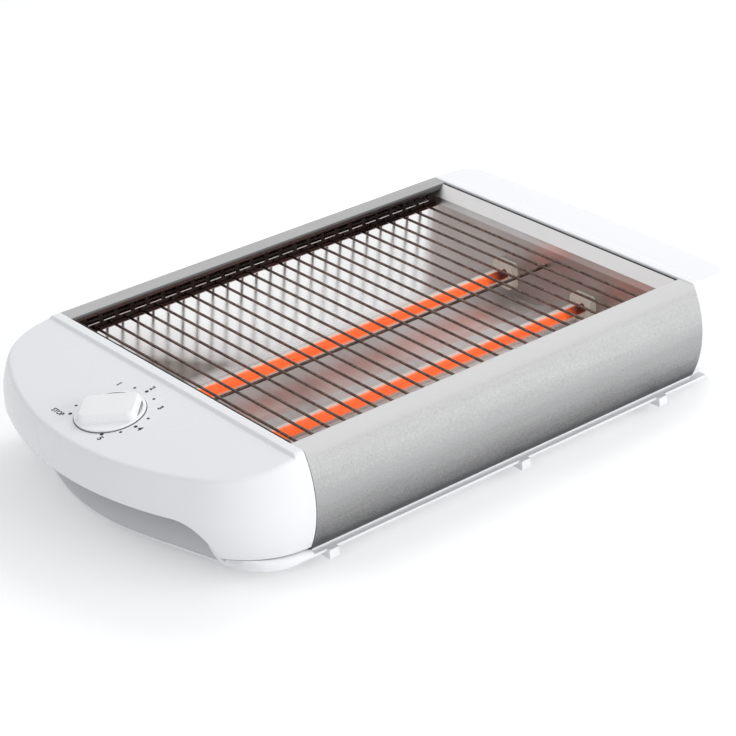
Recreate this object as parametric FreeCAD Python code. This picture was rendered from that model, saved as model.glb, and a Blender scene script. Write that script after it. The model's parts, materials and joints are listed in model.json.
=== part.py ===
import FreeCAD
import Part
import math
import os
from FreeCAD import Placement, Rotation, Vector

# Horizontal toaster. X runs along the body, the control end is at -X, the long steel
# sides face -Y (front) and +Y (rear), and Z is up from the surface it stands on.
# All sizes are in millimetres.

# Steel middle section
body_length = 280.0
body_width = 225.0
crease_height = 70.0
panel_bottom = 12.3
panel_bulge = 7.6
steel = 1.0
flange_width = 12.3
lip_drop = 3.0
foot_flange = 7.0

# Plastic ends
plastic = 2.2
housing_depth = 67.5
front_radius = 196.0
corner_radius = 43.0
panel_tilt = 7.0
panel_set = 0.3
housing_bottom = 14.0
housing_rise = 5.8
cap_depth = 33.0
cap_face_radius = 2500.0
cap_corner = 12.0
cap_bottom = 14.0
edge_lip_width = 6.5
edge_lip_rise = 0.5
crease_fillet = 3.0

# Screws that hold the plastic ends and the feet
boss_radius = 4.5
post_radius = 5.5
screw_inset_x = 9.5
screw_inset_y = 15.5
screw_shank = 1.35
screw_head = 3.2
screw_head_height = 1.6
screw_length = 16.0
screw_tip_room = 2.0
head_sink = 1.5

# Finger scoop under the control panel
scoop_half = 95.5
scoop_top = 39.5
scoop_corner = 19.0
scoop_wall = 2.0
scoop_roof = 42.0
scoop_set = 0.6
scoop_depth = 48.0

# Base moulding
rim_out = 3.5
rim_bottom = 9.8
rim_top = 11.3
base_depth = 57.8
base_nose_radius = 150.0
base_nose_angle = 15.5
base_corner = 25.0
rim_past_cap = 8.0
skirt_depth = 31.5
skirt_in = 1.7
floor_bottom = 6.0
floor_thickness = 2.0
tray_inset = 11.0
tray_wall = 2.0
upstand_top = 20.0
upstand_inset = 5.2
foot_radius = 8.0
foot_edge = 1.0
foot_recess = 3.0
foot_screw_proud = 0.8
foot_inset_x = 30.0
foot_inset_y = 28.0
lug_width = 6.3
lug_out = 2.2
lug_bottom = 5.7
lug_first = 11.0
lug_middle = 145.0
lug_last = 29.0

# Grill
wire_radius = 0.8
wire_height = 60.0
wire_first = 14.5
wire_pitch = 10.75
wire_margin = 2.0
wire_overhang = 1.5
rod_radius = 0.9
rod_level = 47.9
rod_overhang = 1.0
rail_bottom = 50.0
rail_end = 5.5
slot_length = 8.2
slot_height = 1.2
slot_rows = [62.6, 65.2]

# Heating space
sheet = 0.8
wall_sheet = 1.0
wall_set = 8.5
wall_top_set = 2.5
wall_bend_height = 63.4
control_wall_set = 6.0
wall_foot = 6.5
reflector_floor = 18.0
reflector_floor_half = 68.0
reflector_bend = 56.5
ridge_height = 4.0
ridge_half = 12.0
bracket_inset = 45.0
bracket_half_length = 8.0
bracket_half_width = 5.0
bracket_out = 55.0

# Quartz tubes and coils
tube_radius = 5.0
tube_wall = 1.0
tube_spacing = 68.0
tube_height = 32.5
tube_overhang = 3.0
coil_turns = 48
coil_radius = 2.55
coil_wire = 0.45
coil_start = 46.0
coil_end = 258.0
coil_tail_rise = 3.0
coil_tail_turn = 0.9
holder_size = 17.0
holder_corner = 3.0
holder_thick = 5.0
holder_neck = 7.2
holder_neck_length = 5.0
plug_length = 6.0
pin_radius = 1.1
pin_reach = 7.0
pin_disc = 1.0

# Timer and knob, in the frame of the sloping panel
knob_setback = 42.0
knob_radius = 19.4
knob_disc = 1.0
knob_lift = 0.3
grip_length = 31.0
grip_width = 21.5
grip_height = 4.2
grip_corner = 4.5
grip_edge = 1.2
grip_angle = 135.0
disc_edge = 0.4
shaft_radius = 3.0
shaft_hole = 4.0
shaft_sink = 2.0
shaft_in_timer = 9.0
timer_length = 36.0
timer_width = 29.0
timer_height = 18.0
timer_corner = 3.0
timer_plate = 1.0
plate_margin = 4.0
timer_screw_reach = 14.5
timer_screw_shank = 1.5
timer_screw_head = 2.9
timer_head_depth = 1.4
timer_thread = 3.0
tag_length = 7.0
tag_width = 4.8
tag_thick = 0.8
tag_height = 5.0
bell_place = 12.0
bell_radius = 9.0
bell_height = 5.5
bell_wall = 0.8
bell_drop = 1.5
bell_stem = 2.0

# Mains inlet and leads
gland_back = 18.0
gland_height = 28.0
gland_radius = 5.0
gland_bore = 3.2
gland_flange = 7.0
gland_inner_flange = 3.0
gland_depth = 6.0
block_back = 20.0
block_out = 64.0
block_length = 18.0
block_width = 12.0
block_height = 11.0
block_poles = 9.0
pole_radius = 1.6
pole_floor = 6.0
lead_radius = 1.1
lead_straight = 8.0
lead_loop = 12.0
lead_rise = 6.0
lead_slack = 14.0

# Clearances between parts
fit_gap = 0.3
running_gap = 0.04
bush_gap = 0.1
thread_gap = 0.05
screw_hole_gap = 0.5
head_gap = 0.4
post_gap = 0.7

# Places worked out from the sizes above
overall_length = housing_depth + cap_depth + body_length + 2 * panel_bulge
x_control = -overall_length / 2 + housing_depth + panel_bulge
x_far = x_control + body_length
half_width = body_width / 2
rim_half = half_width + rim_out
skirt_half = half_width - skirt_in
flange_edge = half_width - flange_width
floor_top = floor_bottom + floor_thickness
belly_height = (crease_height + panel_bottom) / 2
belly_span = crease_height - panel_bottom
bulge_radius = (belly_span ** 2 / 4 + panel_bulge ** 2) / (2 * panel_bulge)
wall_face_far = x_far - wall_set
wall_face_control = x_control + control_wall_set
tube_x0 = wall_face_control - tube_overhang
tube_x1 = wall_face_far + tube_overhang
timer_top = -plastic - timer_plate
tilt = math.radians(panel_tilt)
nose_slope = math.radians(base_nose_angle)
up = Vector(0, 0, 1)
along = Vector(1, 0, 0)
across = Vector(0, 1, 0)
overrun = 3.0
far_away = 500.0

os.makedirs("parts", exist_ok=True)


# Shared shapes

def box(x0, x1, y0, y1, z0, z1):
    return Part.makeBox(x1 - x0, y1 - y0, z1 - z0, Vector(x0, y0, z0))


def rod(start, direction, radius, length):
    return Part.makeCylinder(radius, length, start, direction)


def face_of(points):
    return Part.Face(Part.makePolygon(points + [points[0]]))


def joined(solids):
    result = solids[0]
    if len(solids) > 1:
        result = result.fuse(solids[1:])
    return result.removeSplitter()


def group(solids):
    return Part.makeCompound(solids)


def mirrored(shape):
    return shape.mirror(Vector(0, 0, 0), across)


def save(shape, name):
    shape.exportStep(os.path.join("parts", name + ".step"))


def rounded_block(length, width, height, corner):
    block = box(-length / 2, length / 2, -width / 2, width / 2, 0, height)
    upright = [e for e in block.Edges if abs(e.BoundBox.ZLength - height) < 1e-6]
    return block.makeFillet(corner, upright)


# Barrel-walled plastic ends

def belly(z, inset=0.0):
    """How far the barrel wall stands outside the crease line at height z."""
    rise = z - belly_height
    return panel_bulge - bulge_radius + math.sqrt((bulge_radius - inset) ** 2 - rise ** 2)


def wall_arc(offset, z0, z1, inset, side=1):
    """Arc of the barrel wall in the YZ plane, from height z0 to z1."""
    ends = [Vector(0, side * (offset + belly(z, inset)), z) for z in (z0, (z0 + z1) / 2, z1)]
    return Part.Arc(*ends).toShape()


def sector(centre, radius, start, sweep, inset, z0, z1):
    """Barrel-walled sector of the plan, turned about an upright axis."""
    arc = wall_arc(radius, z0, z1, inset)
    low = arc.valueAt(arc.FirstParameter)
    high = arc.valueAt(arc.LastParameter)
    foot = Vector(0, 0, z0)
    head = Vector(0, 0, z1)
    edges = [Part.makeLine(foot, low), arc, Part.makeLine(high, head), Part.makeLine(head, foot)]
    face = Part.Face(Part.Wire(edges))
    face.rotate(Vector(0, 0, 0), up, start - 90)
    face.translate(centre)
    return face.revolve(centre, up, sweep)


def barrel_end(depth, nose_radius, corner, inset, z0, z1):
    """Solid D-shaped end with the barrel wall. Its flat side lies at x = 0 and it points to -X."""
    side_y = half_width - corner
    nose = Vector(-depth + nose_radius, 0, 0)
    corner_x = nose.x - math.sqrt((nose_radius - corner) ** 2 - side_y ** 2)
    spread = math.degrees(math.atan2(side_y, nose.x - corner_x))
    right = wall_arc(half_width, z0, z1, inset)
    left = wall_arc(half_width, z0, z1, inset, -1)
    top = Part.makeLine(right.valueAt(right.LastParameter), left.valueAt(left.LastParameter))
    foot = Part.makeLine(left.valueAt(left.FirstParameter), right.valueAt(right.FirstParameter))
    section = Part.Face(Part.Wire(Part.__sortEdges__([right, top, left, foot])))
    section.translate(Vector(corner_x, 0, 0))
    pieces = [section.extrude(Vector(-corner_x, 0, 0))]
    pieces.append(sector(Vector(corner_x, side_y, 0), corner, 90, 90 - spread, inset, z0, z1))
    pieces.append(sector(Vector(corner_x, -side_y, 0), corner, 180 + spread, 90 - spread,
                         inset, z0, z1))
    front = sector(nose, nose_radius, 180 - spread, 2 * spread, inset, z0, z1)
    pieces.append(front.common(box(-far_away, 0, -far_away, far_away, z0, z1)))
    return joined(pieces)


def panel_height(x):
    """Height of the sloping control panel's face at x."""
    return crease_height - panel_set + (x - x_control) * math.tan(tilt)


def above_panel(drop):
    """Everything above the control panel's face, lowered by drop along its normal."""
    block = box(-far_away, far_away, -far_away, far_away, 0, far_away)
    block.rotate(Vector(0, 0, 0), across, -panel_tilt)
    lift = crease_height - panel_set - drop / math.cos(tilt)
    return block.translated(Vector(x_control, 0, lift))


def below_housing():
    """Everything below the housing's lower edge, which rises a little towards the nose."""
    block = box(-far_away, far_away, -far_away, far_away, -far_away, 0)
    block.rotate(Vector(0, 0, 0), across, housing_rise)
    return block.translated(Vector(x_control, 0, housing_bottom))


def at_control(shape):
    return shape.translated(Vector(x_control, 0, 0))


def at_far(shape):
    turned = shape.copy()
    turned.rotate(Vector(0, 0, 0), up, 180)
    return turned.translated(Vector(x_far, 0, 0))


def on_panel(shape):
    """Places a shape made about the knob's axis, with its zero height on the panel's face."""
    x = x_control - knob_setback
    place = Placement(Vector(x, 0, panel_height(x)), Rotation(across, -panel_tilt))
    moved = shape.copy()
    moved.Placement = place.multiply(moved.Placement)
    return moved


def edge_lip():
    """Raised rounded lip along the flat side of a plastic end, in that end's own frame."""
    half = half_width - edge_lip_rise
    lip = box(-edge_lip_width, 0, -half, half, crease_height - plastic,
              crease_height + edge_lip_rise)
    crown = [e for e in lip.Edges
             if e.BoundBox.YLength > half and e.BoundBox.ZMin > crease_height]
    return lip.makeFillet(edge_lip_rise, crown)


def soft_crease(solid, plane_test):
    edges = [e for e in solid.Edges if plane_test(e)]
    return solid.makeFillet(crease_fillet, edges)


def screw_places():
    inner = half_width - screw_inset_y
    near = x_control - screw_inset_x
    far = x_far + screw_inset_x
    return [Vector(x, y, 0) for x in (near, far) for y in (-inner, inner)]


def end_bosses(outer, places):
    """Screw posts that stand between the base and the underside of a plastic end's top."""
    bosses = []
    for place in places:
        post = rod(place + up * (rim_top + post_gap), up, boss_radius, crease_height)
        bosses.append(post.common(outer))
    return bosses


def boss_holes(places):
    depth = floor_bottom + head_sink + screw_length + screw_tip_room
    return [rod(place, up, screw_shank + thread_gap, depth) for place in places]


def control_housing():
    outer = at_control(barrel_end(housing_depth, front_radius, corner_radius, 0.0,
                                  panel_bottom, crease_height))
    outer = outer.cut(above_panel(0.0)).cut(below_housing())

    def on_crease(edge):
        box_ = edge.BoundBox
        mid = edge.valueAt((edge.FirstParameter + edge.LastParameter) / 2)
        return box_.XMax < x_control + 0.1 and abs(mid.z - panel_height(mid.x)) < 0.05 \
            and mid.x < x_control - 0.5
    outer = soft_crease(outer, on_crease)
    inner = at_control(barrel_end(housing_depth, front_radius, corner_radius, plastic,
                                  panel_bottom - overrun, crease_height - plastic))
    inner = inner.cut(above_panel(plastic))
    shell = outer.cut(inner)
    bosses = end_bosses(outer, screw_places()[:2])
    shell = shell.fuse(bosses + [at_control(edge_lip())])
    holes = boss_holes(screw_places()[:2])
    holes.append(on_panel(rod(up * (-2 * plastic), up, shaft_hole, 4 * plastic)))
    holes.extend(on_panel(hole) for hole in timer_screw_solids(bush_gap))
    holes.append(gland_hole())
    scoop = box(x_control - far_away, x_control - housing_depth + scoop_depth,
                -scoop_half, scoop_half, 0, scoop_top)
    upper = [e for e in scoop.Edges if e.BoundBox.XLength > 1 and e.BoundBox.ZMin > 1]
    holes.append(scoop.makeFillet(scoop_corner, upper))
    return joined([shell.cut(holes)])


def end_cap():
    outer = barrel_end(cap_depth, cap_face_radius, cap_corner, 0.0, panel_bottom, crease_height)
    outer = outer.cut(box(-far_away, far_away, -far_away, far_away, 0, cap_bottom))
    top = box(-far_away, far_away, -far_away, far_away, crease_height - panel_set, far_away)
    outer = outer.cut(top)

    def on_crease(edge):
        box_ = edge.BoundBox
        return box_.ZMin > crease_height - panel_set - 0.05 and box_.XMin < -0.5
    outer = soft_crease(outer, on_crease)
    inner = barrel_end(cap_depth, cap_face_radius, cap_corner, plastic,
                       panel_bottom - overrun, crease_height - panel_set - plastic)
    shell = at_far(outer.cut(inner))
    shell = shell.fuse(end_bosses(at_far(outer), screw_places()[2:]) + [at_far(edge_lip())])
    return joined([shell.cut(boss_holes(screw_places()[2:]))])


# Steel sides

def side_panel():
    """Rear steel side: folded lip, top flange, barrel wall and turned-in foot."""
    top = crease_height
    outer_arc = wall_arc(half_width, top, panel_bottom, 0.0)
    inner_arc = wall_arc(half_width, panel_bottom + steel, top - steel, steel)
    lip_in = flange_edge
    corners = [Vector(0, half_width - foot_flange, panel_bottom),
               Vector(0, half_width - foot_flange, panel_bottom + steel)]
    lip = [Vector(0, lip_in + steel, top - steel), Vector(0, lip_in + steel, top - lip_drop),
           Vector(0, lip_in, top - lip_drop), Vector(0, lip_in, top)]
    edges = [outer_arc,
             Part.makeLine(outer_arc.valueAt(outer_arc.LastParameter), corners[0]),
             Part.makeLine(corners[0], corners[1]),
             Part.makeLine(corners[1], inner_arc.valueAt(inner_arc.FirstParameter)),
             inner_arc,
             Part.makeLine(inner_arc.valueAt(inner_arc.LastParameter), lip[0]),
             Part.makeLine(lip[0], lip[1]), Part.makeLine(lip[1], lip[2]),
             Part.makeLine(lip[2], lip[3]),
             Part.makeLine(lip[3], outer_arc.valueAt(outer_arc.FirstParameter))]
    face = Part.Face(Part.Wire(Part.__sortEdges__(edges)))
    face.translate(Vector(x_control, 0, 0))
    return face.extrude(Vector(body_length, 0, 0))


# Base moulding

def base_plan(inset, x_end):
    """Plan of the base with the bowed nose under the control panel, cut square at x_end."""
    half = rim_half - inset
    flare = 1 / math.cos(nose_slope) - 1
    tip = x_control - base_depth - base_nose_radius * flare + inset * (1 + flare)
    shoulder = tip + math.tan(nose_slope) * half
    points = [Vector(x_end, -half, 0), Vector(shoulder, -half, 0), Vector(tip, 0, 0),
              Vector(shoulder, half, 0), Vector(x_end, half, 0)]
    return rounded_plan(points, {1: base_corner - inset, 2: base_nose_radius - inset,
                                 3: base_corner - inset})


def rounded_plan(points, radii):
    """Closed flat outline through points, with a tangent arc of the given radius at some."""
    count = len(points)
    starts = []
    ends = []
    arcs = []
    for i, point in enumerate(points):
        radius = radii.get(i, 0.0)
        back = (points[i - 1] - point).normalize()
        ahead = (points[(i + 1) % count] - point).normalize()
        half_turn = (math.pi - back.getAngle(ahead)) / 2
        reach = radius * math.tan(half_turn)
        starts.append(point + back * reach)
        ends.append(point + ahead * reach)
        if radius > 0:
            middle = (back + ahead).normalize()
            mid = point + middle * (radius / math.cos(half_turn) - radius)
            arcs.append(Part.Arc(starts[i], mid, ends[i]).toShape())
    edges = list(arcs)
    for i in range(count):
        a = ends[i]
        b = starts[(i + 1) % count]
        if (b - a).Length > 1e-6:
            edges.append(Part.makeLine(a, b))
    return Part.Face(Part.Wire(Part.__sortEdges__(edges)))


def prism(face, z0, z1):
    return face.translated(Vector(0, 0, z0)).extrude(Vector(0, 0, z1 - z0))


def skirt_plan(inset, x0):
    """Plan of the base's raised part under the end cap, from x0 outwards."""
    x1 = x_far + skirt_depth - inset
    half = skirt_half - inset
    points = [Vector(x0, -half, 0), Vector(x1, -half, 0), Vector(x1, half, 0),
              Vector(x0, half, 0)]
    return rounded_plan(points, {1: cap_corner, 2: cap_corner})


def finger_scoop():
    """Recessed wall, cheeks and roof behind the opening under the control panel."""
    cheek = scoop_half - scoop_wall
    outer = box(x_control - far_away, x_control - housing_depth + scoop_depth, -cheek, cheek,
                rim_bottom, scoop_roof)
    room = at_control(barrel_end(housing_depth, front_radius, corner_radius,
                                 plastic + fit_gap, rim_bottom, crease_height - plastic))
    outer = outer.common(room)
    recess_half = cheek - scoop_wall
    recess = box(x_control - far_away, x_control, -recess_half, recess_half,
                 0, scoop_roof - scoop_wall)
    recess = recess.cut(prism(base_plan(scoop_set, x_far), 0, scoop_roof))
    inside = prism(base_plan(scoop_set + scoop_wall, x_far), 0, scoop_roof)
    return outer.cut([recess, inside])


def base_pan():
    x_rim = x_far + rim_past_cap
    x_lap = x_far - tray_inset
    rim = prism(base_plan(0.0, x_rim), rim_bottom, rim_top)
    skirt = prism(skirt_plan(0.0, x_far + fit_gap), rim_bottom, cap_bottom - fit_gap)
    tray = prism(base_plan(tray_inset, x_far), floor_bottom, rim_top)
    tray_far = prism(skirt_plan(tray_wall * 2, x_lap), floor_bottom, rim_top)
    hollow = prism(base_plan(tray_inset + tray_wall, x_far), floor_top, scoop_roof)
    hollow_far = prism(skirt_plan(tray_wall * 3, x_lap), floor_top, cap_bottom)
    upstand = prism(base_plan(upstand_inset, x_control - fit_gap), rim_bottom, upstand_top)
    upstand = upstand.cut(prism(base_plan(upstand_inset + tray_wall, x_far), 0, upstand_top))
    nose = box(x_control - far_away, x_control - screw_inset_x - boss_radius,
               -scoop_half, scoop_half, rim_top, upstand_top)
    upstand = upstand.cut(nose)
    ledge_out = half_width - fit_gap
    ledge_in = half_width - foot_flange - tray_wall
    ledges = [box(x_control + steel, x_far - steel, ledge_in, ledge_out, rim_bottom,
                  panel_bottom)]
    ledges.append(mirrored(ledges[0]))
    pan = rim.fuse([skirt, tray, tray_far])
    pan = pan.cut([hollow, hollow_far])
    posts = []
    holes = []
    for place in screw_places():
        posts.append(rod(place + up * floor_bottom, up, post_radius,
                         rim_top + post_gap - floor_bottom))
        holes.append(rod(place, up, screw_shank + screw_hole_gap, rim_top + post_radius))
        holes.append(rod(place, up, screw_head + head_gap, floor_bottom + head_sink))
    for place in foot_places():
        holes.append(rod(place, up, screw_shank + thread_gap, rim_top))
    pan = pan.fuse([upstand, finger_scoop()] + ledges + posts + [block_pad()])
    return joined([pan.cut(holes)])


def foot_places():
    x_places = (x_control + foot_inset_x, x_far - foot_inset_x)
    y = half_width - foot_inset_y
    return [Vector(x, s * y, 0) for x in x_places for s in (-1, 1)]


def feet():
    result = []
    for place in foot_places():
        foot = rod(place, up, foot_radius, floor_bottom)
        under = [e for e in foot.Edges if e.BoundBox.ZMax < foot_edge]
        foot = foot.makeFillet(foot_edge, under)
        foot = foot.cut(rod(place, up, screw_head + head_gap, foot_recess))
        result.append(foot.cut(rod(place, up, screw_shank + bush_gap, floor_bottom)))
    return group(result)


def screw(place, head_z, length):
    """Pan-head screw pointing up, with its head's underside at head_z."""
    head = rod(place + up * (head_z - screw_head_height), up, screw_head, screw_head_height)
    return head.fuse(rod(place + up * head_z, up, screw_shank, length))


def foot_screws():
    reach = floor_top - foot_recess + foot_screw_proud
    return group([screw(place, foot_recess, reach) for place in foot_places()])


def base_screws():
    """Screws from below through the base into the posts of the two plastic ends."""
    return group([screw(place, floor_bottom + head_sink, screw_length)
                  for place in screw_places()])


def rim_lugs():
    result = []
    for x in (x_control + lug_first, x_control + lug_middle, x_far - lug_last):
        outer = box(x - lug_width / 2, x + lug_width / 2, rim_half, rim_half + lug_out,
                    lug_bottom, rim_top)
        tongue = box(x - lug_width / 2, x + lug_width / 2, rim_half - tray_inset,
                     rim_half + lug_out, lug_bottom, rim_bottom)
        lug = outer.fuse(tongue).removeSplitter()
        result.append(lug)
        result.append(mirrored(lug))
    return group(result)


# Grill and heating space

def wire_places():
    """As many wires as the pitch allows between the first one and the far end wall."""
    first = x_control + wire_first
    room = wall_face_far - wire_margin - first
    return [first + i * wire_pitch for i in range(int(room / wire_pitch) + 1)]


def wire_rail():
    """Rear perforated strip that holds the wire ends, flat against the panel's lip."""
    y0 = flange_edge + steel
    y1 = y0 + steel
    rail = box(wall_face_control + bush_gap, x_far - rail_end, y0, y1, rail_bottom,
               crease_height - steel)
    holes = []
    for x in wire_places():
        holes.append(rod(Vector(x, y0, wire_height), across, wire_radius + bush_gap, steel))
        for z in slot_rows:
            holes.append(box(x - slot_length / 2, x + slot_length / 2, y0, y1,
                             z - slot_height / 2, z + slot_height / 2))
    return rail.cut(holes)


def grill_wires():
    reach = flange_edge + 2 * steel + wire_overhang
    return group([rod(Vector(x, -reach, wire_height), across, wire_radius, 2 * reach)
                  for x in wire_places()])


def centre_rod():
    x0 = wall_face_control - wall_sheet - rod_overhang
    x1 = wall_face_far + wall_sheet + rod_overhang
    return rod(Vector(x0, 0, rod_level), along, rod_radius, x1 - x0)


def wall_width():
    return flange_edge + steel - bush_gap


def wall_holes():
    """Holes for the tube holders and the rod, and notches beside the panels' lips."""
    lip_in = flange_edge - bush_gap
    lip_low = crease_height - lip_drop - bush_gap
    notch = box(-far_away, far_away, lip_in, far_away, lip_low, far_away)
    holes = [notch, mirrored(notch)]
    holes.append(rod(Vector(-far_away, 0, rod_level), along, rod_radius + bush_gap,
                     2 * far_away))
    for side in (-1, 1):
        holes.append(rod(Vector(-far_away, tube_axis(side), tube_height), along,
                         holder_neck + bush_gap, 2 * far_away))
    return holes


def far_end_wall():
    points = [(x_far - wall_top_set, crease_height - panel_set),
              (wall_face_far, wall_bend_height),
              (wall_face_far, floor_top),
              (wall_face_far + wall_foot, floor_top)]
    wall = bent_wall(points, 1)
    return wall.cut(wall_holes())


def control_end_wall():
    points = [(x_control + wall_sheet + fit_gap, crease_height - panel_set - bush_gap),
              (wall_face_control, wall_bend_height),
              (wall_face_control, floor_top),
              (wall_face_control - wall_foot, floor_top)]
    wall = bent_wall(points, -1)
    return wall.cut(wall_holes())


def bent_wall(points, side):
    """Sheet whose inner face follows the (x, z) points; its thickness lies on the given side."""
    top, bend, foot, toe = points
    run = top[0] - bend[0]
    rise = top[1] - bend[1]
    slant = math.hypot(run, rise)
    shift_x = side * wall_sheet * rise / slant
    shift_z = -side * wall_sheet * run / slant
    part_way = (side * wall_sheet - shift_x) / run
    back = [(toe[0], toe[1] + wall_sheet),
            (foot[0] + side * wall_sheet, foot[1] + wall_sheet),
            (bend[0] + side * wall_sheet, bend[1] + shift_z + part_way * rise),
            (top[0] + shift_x, top[1] + shift_z)]
    outline = [Vector(x, -wall_width(), z) for x, z in points + back]
    return face_of(outline).extrude(Vector(0, 2 * wall_width(), 0))


def trough_line(drop, widen):
    """Half of the reflector's section, from its ridge out to its upper edge."""
    edge = flange_edge + steel - sheet + widen
    top = wire_height - wire_radius - fit_gap
    floor = reflector_floor - drop
    return [(ridge_half, floor), (reflector_floor_half + widen, floor),
            (edge, reflector_bend), (edge, top)]


def reflector():
    """Polished trough: floor with a low ridge between the tubes, and two sloping sides."""
    outline = []
    for drop, way in ((0.0, 1), (sheet, -1)):
        half = trough_line(drop, drop)
        ridge = (0.0, reflector_floor + ridge_height - drop)
        line = [(-y, z) for y, z in reversed(half)] + [ridge] + half
        outline += line[::way]
    corners = [Vector(wall_face_control, y, z) for y, z in outline]
    return face_of(corners).extrude(along * (wall_face_far - wall_face_control))


def reflector_brackets():
    """Folded feet that carry the reflector's floor on the base."""
    result = []
    top = reflector_floor - sheet
    for x in (wall_face_control + bracket_inset, wall_face_far - bracket_inset):
        x0 = x - bracket_half_length
        x1 = x + bracket_half_length
        for side in (-1, 1):
            y0 = side * bracket_out - bracket_half_width
            y1 = side * bracket_out + bracket_half_width
            foot = box(x0, x1, y0, y1, floor_top, floor_top + wall_sheet)
            web = box(x0, x1, y0, y0 + wall_sheet, floor_top, top)
            shelf = box(x0, x1, y0, y1, top - wall_sheet, top)
            result.append(joined([foot, web, shelf]))
    return group(result)


# Quartz tubes

def tube_axis(side):
    return side * tube_spacing / 2


def quartz_tube(side):
    start = Vector(tube_x0, tube_axis(side), tube_height)
    length = tube_x1 - tube_x0
    outer = rod(start, along, tube_radius, length)
    return outer.cut(rod(start, along, tube_radius - tube_wall, length))


def tube_holders():
    result = []
    for side in (-1, 1):
        for face_x, way in ((wall_face_control, 1), (wall_face_far, -1)):
            y = tube_axis(side)
            head_far = face_x + way * holder_thick
            x0 = min(face_x, head_far)
            half = holder_size / 2
            head = box(x0, x0 + holder_thick, y - half, y + half,
                       tube_height - half, tube_height + half)
            corners = [e for e in head.Edges if e.BoundBox.XLength > holder_thick / 2]
            head = head.makeFillet(holder_corner, corners)
            neck = rod(Vector(face_x, y, tube_height), along * -way, holder_neck,
                       holder_neck_length)
            bore = rod(Vector(head_far, y, tube_height), along * -way, tube_radius + bush_gap,
                       holder_thick + holder_neck_length)
            result.append(head.fuse(neck).cut(bore).removeSplitter())
    return group(result)


def plug_spans():
    """Start and direction of each tube's two ceramic end plugs."""
    spans = []
    for side in (-1, 1):
        spans.append((Vector(tube_x0, tube_axis(side), tube_height), along))
        spans.append((Vector(tube_x1, tube_axis(side), tube_height), along * -1))
    return spans


def tube_plugs():
    result = []
    for start, way in plug_spans():
        plug = rod(start, way, tube_radius - tube_wall - thread_gap, plug_length)
        result.append(plug.cut(rod(start, way, pin_radius + thread_gap, plug_length)))
    return group(result)


def tube_terminals():
    """Pins through the plugs, with a disc on the coil side."""
    result = []
    for start, way in plug_spans():
        outside = start - way * pin_reach
        pin = rod(outside, way, pin_radius, pin_reach + plug_length + pin_disc)
        disc = rod(start + way * plug_length, way, coil_radius + coil_wire, pin_disc)
        result.append(pin.fuse(disc).removeSplitter())
    return group(result)


def biarc(p0, t0, p1, t1):
    """Two arcs that leave p0 along t0 and reach p1 along t1."""
    v = p1 - p0
    t = t0 + t1
    k = 2 * (1 - t0.dot(t1))
    vt = v.dot(t)
    reach = (math.sqrt(vt * vt + k * v.dot(v)) - vt) / k
    q0 = p0 + t0 * reach
    q1 = p1 - t1 * reach
    joint = (q0 + q1) * 0.5
    return [tangent_arc(p0, q0, joint), tangent_arc(joint, q1, p1)]


def tangent_arc(start, corner, end):
    """Arc that touches the lines start-corner and corner-end at its two ends."""
    middle = (start + end) * 0.5
    half = (end - start).Length / 2
    side = (corner - start).Length
    turn = math.acos(min(1.0, half / side))
    inward = (corner - middle).normalize()
    return Part.Arc(start, middle + inward * (half * math.tan(turn / 2)), end).toShape()


def helix_point(x, y, angle, radius):
    return Vector(x, y + radius * math.cos(angle), tube_height + radius * math.sin(angle))


def helix_tangent(angle, pitch, radius):
    per_turn = 2 * math.pi * radius
    tangent = Vector(pitch, -per_turn * math.sin(angle), per_turn * math.cos(angle))
    return tangent.normalize()


def heating_coil(side):
    """Wound wire: straight tail, helix of quarter turns, straight tail."""
    y = tube_axis(side)
    x0 = x_control + coil_start
    x1 = x_control + coil_end
    pitch = (x1 - x0) / coil_turns
    steps = 4 * coil_turns
    tail_start = tube_x0 + plug_length + pin_disc
    tail_end = tube_x1 - plug_length - pin_disc
    run_in = helix_point(x0 - coil_tail_rise, y, -coil_tail_turn, coil_radius)
    run_out = helix_point(x1 + coil_tail_rise, y, coil_tail_turn, coil_radius)
    head = Vector(tail_start, run_in.y, run_in.z)
    foot = Vector(tail_end, run_out.y, run_out.z)
    first = helix_tangent(0.0, pitch, coil_radius)
    edges = [Part.makeLine(head, run_in)]
    edges += biarc(run_in, along, helix_point(x0, y, 0.0, coil_radius), first)
    for i in range(steps):
        a0 = i * math.pi / 2
        a1 = (i + 1) * math.pi / 2
        p0 = helix_point(x0 + pitch * i / 4, y, a0, coil_radius)
        p1 = helix_point(x0 + pitch * (i + 1) / 4, y, a1, coil_radius)
        edges += biarc(p0, helix_tangent(a0, pitch, coil_radius),
                       p1, helix_tangent(a1, pitch, coil_radius))
    edges += biarc(helix_point(x1, y, 0.0, coil_radius), first, run_out, along)
    edges.append(Part.makeLine(run_out, foot))
    path = Part.Wire(edges)
    ring = Part.Wire(Part.Circle(head, along, coil_wire).toShape())
    coil = path.makePipeShell([ring], True, False)
    print("coil", side, "least gap to itself", round(self_gap(edges), 2),
          "volume", round(coil.Volume, 1), "of", round(math.pi * coil_wire ** 2 * path.Length, 1))
    return coil


def self_gap(edges):
    """Least gap between stretches of the coil more than half a turn apart, on points."""
    points = []
    for edge in edges:
        points += edge.discretize(3)[:-1]
    skip = 9
    least = far_away
    for i, point in enumerate(points):
        for other in points[i + skip:i + 6 * skip]:
            least = min(least, point.distanceToPoint(other))
    return least - 2 * coil_wire


# Timer and knob

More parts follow.
